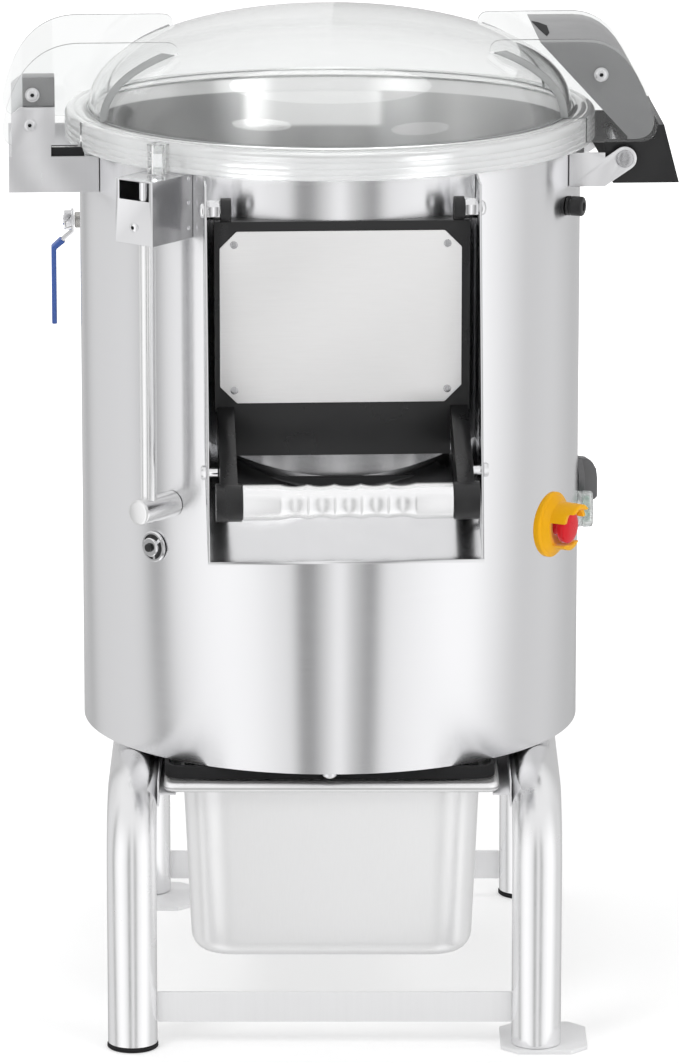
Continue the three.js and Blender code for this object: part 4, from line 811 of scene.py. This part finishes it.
def makeGrip():
    radius, end, steps = gripLook["radius"], gripLook["length"] / 2, gripLook["steps"]
    half = gripLook["grooves"] * gripLook["width"] / 2
    profile = [(0, -end), (radius - 0.8, -end), (radius, 0.8 - end), (radius, -half - 2)]
    for k in range(gripLook["grooves"] * steps + 1):
        hollow = math.sin(k % steps / steps * math.pi)
        profile.append((radius - 0.25 - gripLook["depth"] * hollow, -half + k * gripLook["width"] / steps))
    profile += [(radius, half + 2), (radius, end - 0.8), (radius - 0.8, end), (0, end)]
    finished(
        lathe(profile, 72), "handle_grip_fine", gripAlloy, "door",
        drumPlace @ moved(0, gripLook["reach"], gripLook["level"]) @ facingRight, smooth=28)


makeGrip()

hingeLook = {
    "level": 554.5, "reach": -250, "stem": (5, 105.4, 132, 0.6), "nut": (17, 115.4, 128.1),
    "head": (7, 5, 2.6), "seat": 130.9}
catchLook = {"level": 312, "reach": -297, "stem": (4.5, 119.4, 132, 0.8), "head": (7, 5), "seat": 130.9}


def makeStem(radius, start, end, chamfer):
    return lathe(
        [(0, start), (radius - chamfer, start), (radius, start + chamfer), (radius, end), (0, end)], 40)


def makeHingeBolt(name, facing):
    across, nutLow, nutHigh = hingeLook["nut"]
    nut = rod(across / math.sqrt(3), nutLow, nutHigh, 6)
    softEdges(nut, 0.7, 2)
    head = placed(capHead(*hingeLook["head"]), moved(z=hingeLook["seat"]))
    finished(
        joined(makeStem(*hingeLook["stem"]), nut, head), name + "_fine", polishedSteel,
        place=drumPlace @ moved(0, hingeLook["reach"], hingeLook["level"]) @ facing)


def makePlunger(name, facing, body):
    (radius, height), seat = catchLook["head"], catchLook["seat"]
    head = lathe(
        [(0, seat), (radius - 0.6, seat), (radius, seat + 0.6), (radius, seat + height * 0.6),
        (radius - 1.6, seat + height), (0, seat + height)], 48)
    finished(
        joined(makeStem(*catchLook["stem"]), head), name + "_fine", polishedSteel, body,
        drumPlace @ moved(0, catchLook["reach"], catchLook["level"]) @ facing)


makeHingeBolt("door_hinge_bolt_left", facingLeft)
makeHingeBolt("door_hinge_bolt_right", facingRight)
makePlunger("catch_plunger_left", facingLeft, "catch_left")
makePlunger("catch_plunger_right", facingRight, "catch_right")
print("door made")

# Lid
lidLook = {
    "top": 610.5, "flange": 606.5, "low": 582.5, "radius": 259, "sheet": 4, "dome": 236, "height": 92.5,
    "power": 2.15, "round": 5, "groove": 0.7, "skirtRings": (5, 11, 17), "brimRings": (9, 17), "steps": 192}
ribLook = {
    "span": 178, "thick": 4, "high": 77, "start": 150, "shoulder": 244, "reach": 313, "reachLeft": 320,
    "waist": 5, "bottom": 23.5, "corner": 19, "nose": 12, "share": 0.32, "shareLeft": 0.2,
    "pin": (281, 571.5), "lug": 10, "bore": 5.5}
beadLook = {"width": 7, "rear": 2.5, "gap": 0.1, "proud": 0.5, "start": 150, "slope": 1.4}


def domeCurve(grow, steps=40):
    # the dome's outer side, grown by a distance, from its foot to its top
    power = 2 / lidLook["power"]
    radius, height = lidLook["dome"] + grow, lidLook["height"] + grow
    curve = [
        (radius * cosine ** power, lidLook["top"] + height * sine ** power)
        for sine, cosine in quarter(steps)]
    return curve[:-1] + [(0, curve[-1][1])]


def domeBody(grow):
    low, edge = lidLook["low"] - 8, lidLook["radius"] + grow
    return lathe([(0, low), (edge, low), (edge, lidLook["top"] + grow)] + domeCurve(grow), 128)


def makeDome():
    sheet, low, top, edge = lidLook["sheet"], lidLook["low"], lidLook["top"], lidLook["radius"]
    groove, soft, bore = lidLook["groove"], lidLook["round"], lidLook["radius"] - lidLook["sheet"]
    inner = domeCurve(-sheet)[::-1]
    inner[-1] = (inner[-1][0], lidLook["flange"])
    rim = [
        (bore, lidLook["flange"]), (bore, low + 0.8), (bore + 0.8, low), (edge - 0.8, low), (edge, low + 0.8)]
    for up in lidLook["skirtRings"]:  # fine rings round the skirt
        level = low + up
        rim += [(edge, level - groove), (edge - groove * 0.8, level), (edge, level + groove)]
    rim += [(edge - soft * (1 - cosine), top - soft * (1 - sine)) for sine, cosine in quarter(6)]
    for inward in lidLook["brimRings"]:
        reach = edge - inward
        rim += [(reach + groove, top), (reach, top - groove * 0.8), (reach - groove, top)]
    finished(
        lathe(inner + rim + domeCurve(0), lidLook["steps"]), "lid_dome_fine", lidSheet, "lid", drumPlace,
        smooth=45)


def ribOutline(reach, share):
    start, shoulder, nose, corner = pick(ribLook, "start", "shoulder", "nose", "corner")
    top, waist, bottom = (
        lidLook["top"] + ribLook["high"], lidLook["top"] - ribLook["waist"],
        lidLook["top"] - ribLook["bottom"])
    points = [(start, top - nose)]
    points += curveTo(points[-1], (start, top), (start + nose, top), 8)
    points.append((shoulder, top))
    points += curveTo(points[-1], (reach - (reach - shoulder) * share, top), (reach, waist), 20)
    points += curveTo(points[-1], (reach, bottom), (reach - corner, bottom), 8)
    points.append((lidLook["dome"] - nose, bottom))
    return points


def makeRibs():
    outer, thick, bore = ribLook["span"] / 2, ribLook["thick"], ribLook["bore"]
    pinX, pinZ = ribLook["pin"]
    for low, high in ((-outer, thick - outer), (outer - thick, outer)):
        right = plate(ribOutline(ribLook["reach"], ribLook["share"]), low, high)
        eye = placed(rod(ribLook["lug"], 0, high - low, 48), moved(pinX, high, pinZ) @ facingFront)
        carve(right, eye, operation="UNION")
        hole = placed(rod(bore, -200, 200, 32), moved(pinX, 0, pinZ) @ facingFront)
        left = plate(ribOutline(ribLook["reachLeft"], ribLook["shareLeft"]), low, high)
        placed(left, turned(180))
        carve(right, domeBody(0.15), hole)
        carve(left, domeBody(0.15))
        for rib, side in ((right, "right"), (left, "left")):
            softEdges(rib, 0.5, 2)
            finished(rib, "lid_rib_" + side, clearSheet, "lid", drumPlace, smooth=12)


def makeBeads():
    # clear bead along each rib where it meets the dome
    near, top, first = ribLook["span"] / 2, lidLook["top"], beadLook["start"]
    half, middle = ribLook["thick"] / 2 + beadLook["proud"], near - ribLook["thick"] / 2
    for side in (1, -1):
        for depth, width in ((-middle, beadLook["width"]), (middle, beadLook["rear"])):
            edges = []
            for grow, start in ((beadLook["gap"], first), (width, first + width * beadLook["slope"])):
                edges.append([
                    (side * math.sqrt(across ** 2 - near ** 2), max(level, top + 0.6))
                    for across, level in domeCurve(grow) if across ** 2 > near ** 2 + start ** 2])
            outline = edges[0] + edges[1][::-1]
            bead = plate(outline if side > 0 else outline[::-1], depth - half, depth + half)
            carve(bead, domeBody(0.1))
            softEdges(bead, 0.8, 2)
            finished(bead, "rib_bead", beadClear, "lid", drumPlace)


makeDome()
makeRibs()
makeBeads()
seamFoot, lidTop = lidLook["dome"] + 1.2, lidLook["top"]
seam = lathe(
    [(seamFoot - 0.4, lidTop + 0.1), (seamFoot + 1.2, lidTop + 0.1), (seamFoot + 0.8, lidTop + 0.9),
    (seamFoot - 0.2, lidTop + 0.9)], 192)
finished(seam, "dome_seam", seamGrey, "lid", drumPlace)
lugLook = {"turn": -40, "box": (-8, 8, -278, -258.4), "corner": 5, "hole": 4.4, "middle": -268.5}
lug = plate(roundCorners(rectangle(*lugLook["box"]), lugLook["corner"]), lidLook["low"], lidTop, "top")
carve(lug, placed(rod(lugLook["hole"], 500, 700, 32), moved(y=lugLook["middle"])))
softEdges(lug, 0.5, 2)
finished(lug, "magnet_lug", clearSheet, "lid", drumPlace @ turned(lugLook["turn"]))
refined("lid_cover", coverGrey, "lid", 0.8)
refined("strike_block", coverGrey, "lid", 1.0)
refined("hinge_guard", doorBlack, "lid", 0.8)
refined("hinge_bracket", sheetSteel, "base", 0.5, 2)
refined("catch_bracket", catchSteel, "base", 0.5, 2)

padLook = {"box": (-273.5, -241, 574.5, 586.3), "corner": 2, "depth": (-90.8, -72)}
pad = plate(roundCorners(rectangle(*padLook["box"]), padLook["corner"]), *padLook["depth"])
softEdges(pad, 0.8, 2)
finished(pad, "catch_pad", blackRubber, place=drumPlace)
# a thin black sheet laid on the cover's top: painted shade standing for the dark inside of the cover at its
# notch
notchShadeLook = {
    "outline": [(200, 40), (206, 32), (213, 12), (212, -30), (208, -50), (204.5, -16)], "over": (0.15, 0.6)}
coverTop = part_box("lid_cover")[1].z / mm - drumAxis.z / mm
notch = plate(notchShadeLook["outline"], *(coverTop + over for over in notchShadeLook["over"]), "top")
finished(notch, "cover_notch", blackRubber, "lid", drumPlace)
ribFront = -ribLook["span"] / 2
lidScrew = {"radius": 5.6, "height": 2.6, "socket": 2.1, "washer": 7}
screwSpots = {
    "cover_screw": ((257.8, ribFront, 653.2), "lid"), "catch_screw": ((-293.2, -93.6, 609.4), "base"),
    "strike_screw": ((-290.5, ribFront, 638), "lid")}
for label, (spot, body) in screwSpots.items():
    makeScrew(label, drumPlace @ moved(*spot) @ facingFront, body, finish=boltSteel, **lidScrew)

# Hinge pin with domed ends
pinLook = {"radius": 5, "half": 94, "over": 0.4, "head": (8.5, 3.4, 3.2)}
pinX, pinZ = ribLook["pin"]
half, end = pinLook["half"], pinLook["half"] + pinLook["over"]
pin = rod(pinLook["radius"], -end, end, 48)
ends = [
    placed(capHead(*pinLook["head"]), place) for place in (moved(z=half), moved(z=-half) @ turned(180, "X"))]
finished(
    joined(pin, *ends), "hinge_pin_fine", screwSteel, place=drumPlace @ moved(pinX, 0, pinZ) @ facingFront)
print("lid made")

# Lid switch: box, sensor, conduit with its boss
refined("sensor_box", boxSteel, "base", 0.5)
refined("lid_sensor", polishedSteel, "base", 0.6)
sensorLook = {
    "turn": -40, "face": -305, "screwLevel": 535.5, "rivet": (2.2, 1.2), "rivetSpot": (22.5, -251),
    "rivetLevels": (577, 554, 529.5)}
sensorScrew = {"radius": 4.8, "height": 2.6, "socket": 2.0}
sensorFace = station(sensorLook["turn"], sensorLook["screwLevel"]) @ moved(y=sensorLook["face"]) @ facingFront
makeScrew("sensor_box_screw", sensorFace, "base", finish=polishedSteel, **sensorScrew)
copies(
    capHead(*sensorLook["rivet"]), "sensor_box_rivet", polishedSteel, "base",
    [station(sensorLook["turn"], level) @ moved(*sensorLook["rivetSpot"]) @ facingRight
     for level in sensorLook["rivetLevels"]])

conduitLook = {
    "turn": -41, "radius": 8, "sheet": 1.5, "reach": -280, "low": 256, "high": 518.6, "boss": 12.75,
    "bossRound": 3, "start": 240.7, "end": 297}


def makeConduit():
    radius, low, high = conduitLook["radius"], conduitLook["low"], conduitLook["high"]
    bore = radius - conduitLook["sheet"]
    tube = lathe([(bore, low), (radius, low), (radius, high), (bore, high)], 48)
    placed(tube, moved(y=conduitLook["reach"]))
    boss, soft, start, end = pick(conduitLook, "boss", "bossRound", "start", "end")
    nose = [(boss - soft * (1 - cosine), end - soft + soft * sine) for sine, cosine in quarter(5, 1)]
    profile = [(0, start), (boss, start), (boss, end - soft)] + nose + [(0, end)]
    arm = placed(lathe(profile, 64), moved(z=low) @ facingFront)
    carve(arm, tube, operation="UNION")
    carve(arm, rod(wallOut, 0, 600, 256))
    finished(arm, "conduit_fine", conduitSteel, place=station(conduitLook["turn"], 0))


makeConduit()
print("lid switch made")

# Controls round the drum
resetLook = {
    "turn": -46.25, "level": 210, "radius": 15, "bore": 4.5, "button": 4, "proud": 10.5,
    "tabTurns": (40, 160, 280)}


def onWall(look):
    return station(look["turn"], look["level"]) @ facingFront @ moved(z=wallOut)


def makeReset():
    place = onWall(resetLook)
    r, bore = resetLook["radius"], resetLook["bore"]
    bezel = lathe(
        [(bore, 0), (r - 0.4, 0), (r, 0.4), (r, 2.0), (r - 1.0, 2.9), (r - 2.6, 2.9), (r - 3.0, 1.6),
        (r - 5.4, 1.6), (r - 5.8, 6.2), (r - 6.6, 7.0), (bore, 7.0)], 72)
    finished(bezel, "reset_bezel_fine", polishedSteel, place=place, smooth=28)
    groove = lathe(rectangle(r - 5.3, r - 3.1, 1.7, 2.5), 72)
    finished(groove, "reset_ring", doorBlack, place=place)
    tab = plate(roundCorners(rectangle(r - 5.7, r - 2.7, -1.6, 1.6), 0.4, 2), 2.55, 2.9, "top")
    copies(tab, "reset_tab", polishedSteel, "base", [place @ turned(turn) for turn in resetLook["tabTurns"]])
    b, top = resetLook["button"], resetLook["proud"]
    button = lathe([(0, 2.4), (b, 2.4), (b, top - 0.8), (b - 0.8, top), (0, top)], 40)
    finished(button, "reset_button_fine", doorBlack, "reset_button", place)


estopLook = {
    "turn": 58, "level": 218, "flange": 32, "collar": 28.5, "shroud": 23, "inner": 18.5, "high": 34,
    "neck": 10.5, "window": (-17, 7), "fork": (-17, 16), "out": (11, 32), "lowProng": 23, "cut": 60,
    "button": 16.5, "buttonHigh": 25, "buttonUnder": 15, "buttonFoot": 5.5, "stem": 10, "crown": 4}


def makeEstop():
    place = station(estopLook["turn"], estopLook["level"])
    flange, collar, outer, inner, neck, cut = pick(
        estopLook, "flange", "collar", "shroud", "inner", "neck", "cut")
    end = estopLook["high"]
    guard = lathe(
        [(neck, -5), (flange - 0.6, -5), (flange, -4.4), (flange, 3.4), (flange - 0.9, 4.4),
        (collar + 0.6, 5.2), (collar - 0.8, 7.4), (outer + 2.2, 8.6), (outer + 0.5, 11), (outer, end - 1.2),
        (outer - 1.0, end), (inner + 0.8, end), (inner, end - 0.8), (inner, 8), (neck, 8)], 96)
    placed(guard, facingFront @ moved(z=wallOut))
    (low, high), (forkLow, forkHigh) = estopLook["window"], estopLook["fork"]
    near, far = (-wallOut - out for out in estopLook["out"])
    past = -wallOut - end - 9
    window = plate(roundCorners(rectangle(far, near, low, high), 2.5), -cut, cut, "side")
    fork = plate(roundCorners(rectangle(past, far + 5, forkLow, forkHigh), 3), -cut, cut, "side")
    lowProng = plate(rectangle(past, -wallOut - estopLook["lowProng"], -cut, low / 2), -cut, cut, "side")
    carve(guard, window, fork, lowProng, placed(rod(wallOut, 0, 600, 256), moved(z=-estopLook["level"])))
    softEdges(guard, 0.4, 2, 40)
    finished(guard, "estop_guard_fine", signalYellow, place=place)
    r, stem, crown = estopLook["button"], estopLook["stem"], estopLook["crown"]
    top, under, foot = pick(estopLook, "buttonHigh", "buttonUnder", "buttonFoot")
    profile = [(0, foot), (stem, foot), (stem, under), (r - 1, under), (r, under + 1.2), (r, top - crown)]
    profile += [(r * cosine ** 0.7, top - crown + crown * sine) for sine, cosine in quarter(8, 1)[:-1]]
    button = lathe(profile + [(0, top)], 80)
    finished(button, "estop_button_fine", signalRed, "stop_button", onWall(estopLook), smooth=40)
    for piece in (guard, button):
        piece.visible_glossy = False


startLook = {
    "turn": 88, "level": 204, "button": 13, "proud": 11, "height": 7, "boot": 18, "bootProud": 14.6,
    "sheet": 2}


def makeStart():
    place = onWall(startLook)
    r, top = startLook["button"], startLook["proud"]
    low = top - startLook["height"]
    button = lathe(
        [(0, low), (r, low), (r, top - 1.6), (r - 0.6, top - 0.6), (r - 1.6, top), (r - 3.5, top - 0.2),
        (0, top - 0.9)], 72)
    finished(button, "start_button_fine", startGreen, "start_button", place)
    outer, high = startLook["boot"], startLook["bootProud"]
    bore, under = outer - startLook["sheet"], high - startLook["sheet"]
    boot = lathe(
        [(0, under), (bore - 1.4, under), (bore, under - 1.4), (bore, 0), (outer, 0), (outer, 3.2),
        (outer - 0.7, 3.8), (outer - 0.7, 4.6), (outer, 5.2), (outer, high - 2.4), (outer - 0.7, high - 0.7),
        (outer - 2.4, high), (0, high)], 96)
    finished(boot, "start_boot_fine", clearBoot, place=place, smooth=40)


plugLook = {"turn": 67, "level": 526.5, "radius": 9.5, "proud": 16, "dimple": 4.4}


def makePlug():
    r, dimple, top = plugLook["radius"], plugLook["dimple"], plugLook["proud"]
    plug = lathe(
        [(0, 0), (r, 0), (r, 2.2), (r - 0.8, 2.8), (r - 0.8, 3.6), (r, 4.2), (r, top - 2),
        (r - 0.7, top - 0.7), (r - 2, top), (dimple, top), (dimple - 0.4, top - 1.4), (0, top - 1.4)], 56)
    finished(plug, "blanking_plug_fine", doorBlack, place=onWall(plugLook))


makeReset()
makeEstop()
makeStart()
refined("timer_knob", knobGrey, "timer", 1.6, 4)
makePlug()
refined("cable_gland", doorBlack, "base", 0.6)
print("controls made")

# Water inlet
pipeLook = {
    "radius": 9, "wall": 2, "bend": 17, "bendSteps": 16, "level": 530.5, "turn": -124.9, "start": 235,
    "reach": 262.2, "end": 499.9, "nozzle": 13, "nozzleFrom": 229, "nozzleTo": 235.4}


def makePipe():
    radius, bend, reach, level, end = pick(pipeLook, "radius", "bend", "reach", "level", "end")
    startTube(radius, 48, (0, -reach, end))
    drawOut((0, 0, level - bend - end))
    bendOver((0, bend - reach, level - bend), pipeLook["bendSteps"])
    drawOut((0, reach - bend - pipeLook["start"], 0))
    pipe = leaveEdit()
    apply(pipe, "SOLIDIFY", thickness=pipeLook["wall"] * mm, offset=-1)
    out, low, high = pipeLook["nozzle"], pipeLook["nozzleFrom"], pipeLook["nozzleTo"]
    nozzle = lathe(
        [(radius - 2, low), (out - 0.6, low), (out, low + 0.6), (out, high - 0.6), (out - 0.6, high),
        (radius - 2, high)], 48)
    placed(nozzle, moved(z=level) @ facingFront)
    finished(joined(pipe, nozzle), "inlet_pipe_fine", polishedSteel, place=station(pipeLook["turn"], 0))


valveLook = {
    "spot": (-215, 150, 469.5), "body": 16, "end": 14, "swell": 17, "half": 30, "endLength": 13,
    "nutShare": 1.12, "tail": 8.5, "tailLength": 25, "bonnet": 8, "bonnetReach": 34, "neck": (20, 24)}
valvePlace = drumPlace @ moved(*valveLook["spot"])


def makeValve():
    half, end, tail, swell = pick(valveLook, "half", "end", "tail", "swell")
    length, bulge, inner = valveLook["endLength"], valveLook["body"] - end, half - valveLook["endLength"] + 1
    barrel = [(end + bulge * math.sin(k / 8 * math.pi) ** 0.6, -swell + k * swell / 4) for k in range(9)]
    parts = [lathe([(0, -inner), (end, -inner)] + barrel + [(end, inner), (0, inner)], 64)]
    for low in (-half, half - length):
        nut = rod(end * valveLook["nutShare"], low, low + length, 8)
        softEdges(nut, 0.8, 2)
        parts.append(nut)
    foot = -half - valveLook["tailLength"]
    parts.append(lathe([(0, foot), (tail - 1, foot), (tail, foot + 1), (tail, -half), (0, -half)], 48))
    bonnet, top, (low, high) = valveLook["bonnet"], valveLook["bonnetReach"], valveLook["neck"]
    profile = [
        (0, 0), (bonnet, 0), (bonnet, low), (bonnet - 1, low + 1), (bonnet - 1, high - 1), (bonnet, high),
        (bonnet, top - 1), (bonnet - 1, top), (0, top)]
    parts.append(placed(lathe(profile, 48), facingLeft))
    finished(joined(*parts), "valve_body_fine", valveSteel, place=valvePlace)


sleeveLook = {
    "neck": 11, "bend": (19, 17), "inner": 34.8, "sheet": 1.3, "strip": 2.5, "low": 104.8, "half": 8.3,
    "topShare": 0.52}


def makeSleeve():
    # the vinyl over the bent lever, its upper end partway up the bend
    sheet, low, half, share = pick(sleeveLook, "sheet", "low", "half", "topShare")
    (bendX, bendZ), kink = sleeveLook["bend"], -sleeveLook["neck"]
    near, far = sheet - sleeveLook["inner"], -sleeveLook["inner"] - sleeveLook["strip"] - sheet
    outline = [
        (near - bendX * share, kink - bendZ * 0.6), (near - bendX, kink - bendZ - 0.6), (near - bendX, -low),
        (far - bendX, -low), (far - bendX, kink - bendZ + 1.4), (far - bendX * share, kink - bendZ * 0.42)]
    sleeve = plate(outline, -half, half)
    softEdges(sleeve, 1.1, 4)
    finished(sleeve, "valve_grip_fine", leverBlue, "water_lever", valvePlace)


makePipe()
makeValve()
refined("valve_lever", polishedSteel, "water_lever", 0.5, 2)
makeSleeve()
print("water inlet made")

# Drive
refined("abrasive_disc", grit, "drive", 1.0)
refined("disc_knob", polishedSteel, "drive", 1.0)
refined("driven_pulley", castAlloy, "drive", 0.6, 2)
refined("motor_pulley", castAlloy, "motor", 0.5, 2)
refined("bearing_housing", castAlloy, "base", 1.5)
refined("motor_body", motorPaint, "base", 2.0)
print("drive made")

# Floor, lamps and the studio round the object
studioLook = {
    "floor": 0.86, "seen": 0.66, "glow": (0.43, 1.0), "glowFrom": 0.9, "glowTo": 2.2, "ambient": 0.62,
    "gain": 1.22, "blueShare": 1.005, "raised": (0.3, 0.75), "size": 80, "below": -0.0002,
    "overhead": ((0.86, 0.86, 0.865, 1), (0.9, 0.9, 0.905, 1)),
    # degrees round from the front, and the tone that bare steel shows there
    "tones": (
        (-180, 206), (-158, 178), (-152, 164), (-147, 190), (-139, 205), (-105, 214), (-97, 204),
        (-92, 150), (-87, 160), (-80, 224), (-63, 246), (-50, 251), (-37, 244), (-25, 228), (-18, 226),
        (-14, 132), (-8, 142), (-4, 196), (0, 220), (5, 253), (10, 204), (15, 176), (20, 120), (26, 228),
        (33, 234), (45, 244), (58, 252), (72, 252), (87, 228), (101, 201), (124, 207), (150, 182))}


def rays(tree):
    # rays seen straight or through clear sheet, and mirrored rays
    path = added("LightPath", tree=tree).outputs
    return summed(path["Is Camera Ray"], path["Is Transmission Ray"], "MAXIMUM"), path["Is Glossy Ray"]


def makeFloor():
    deselectAll()
    bpy.ops.mesh.primitive_plane_add(size=studioLook["size"], location=(0, 0, studioLook["below"]))
    floor = bpy.context.object
    floor.name = "studioFloor"
    material = bpy.data.materials.new("studioFloor")
    tree = clearedTree(material)
    direct, mirrored = rays(tree)
    matt, shown = (added("BsdfDiffuse", {"Color": even(tone)}, tree).outputs["BSDF"]
                   for tone in pick(studioLook, "floor", "seen"))
    reach = lengthOf(added("TexCoord", tree=tree).outputs["Object"])
    level = spread(reach, *studioLook["glow"], studioLook["glowFrom"], studioLook["glowTo"])
    glow = added("Emission", {"Strength": level}).outputs["Emission"]
    both = added("AddShader", {0: shown, 1: glow}).outputs["Shader"]
    clear = added("BsdfTransparent", tree=tree).outputs["BSDF"]
    added("OutputMaterial", {"Surface": mixed(mirrored, mixed(direct, matt, both), clear)})
    floor.data.materials.append(material)


def makeStudio():
    world = bpy.data.worlds.new("studioWorld")
    bpy.context.scene.world = world
    tree = clearedTree(world)
    axes = added("SeparateXYZ", {"Vector": added("TexCoord", tree=tree).outputs["Generated"]}).outputs
    angle = summed(axes["X"], summed(axes["Y"], -1.0, "MULTIPLY"), "ARCTAN2")
    share = summed(summed(angle, 1 / math.tau, "MULTIPLY"), 0.5)
    stops = []
    for turn, tone in studioLook["tones"]:
        level = grey(tone) * studioLook["gain"]
        stops.append((turn / 360 + 0.5, (level, level, level * studioLook["blueShare"], 1)))
    height = spread(axes["Z"], 0, 1, *studioLook["raised"])
    overhead = blended(height, *studioLook["overhead"])
    lift = blended(height, toneRamp(share, stops), overhead)
    soft, room, white = (added("Background", {"Color": colour}, tree).outputs["Background"]
                         for colour in (even(studioLook["ambient"]), lift, even(1)))
    direct, mirrored = rays(tree)
    added("OutputWorld", {"Surface": mixed(direct, mixed(mirrored, soft, room), white)})


lampLook = {
    "keyLamp": {"spot": (-1.9, -2.6, 3.0), "size": 1.8, "power": 46},
    "fillLamp": {"spot": (2.4, -2.4, 2.2), "size": 1.8, "power": 24},
    "topLamp": {"spot": (0, 0.6, 3.4), "size": 2.2, "power": 30}}
lampAim = Vector((0, 0, 0.45))


def makeLamps():
    for name, look in lampLook.items():
        deselectAll()
        bpy.ops.object.light_add(type="AREA", location=look["spot"])
        lamp = bpy.context.object
        lamp.name = name
        lamp.data.shape = "DISK"
        lamp.data.size = look["size"]
        lamp.data.energy = look["power"]
        lamp.visible_glossy = False  # bare steel mirrors the room, not the lamps
        lamp.rotation_euler = (Vector(look["spot"]) - lampAim).to_track_quat("Z", "Y").to_euler()


makeFloor()
makeStudio()
makeLamps()
bpy.context.scene.view_settings.view_transform = "Standard"
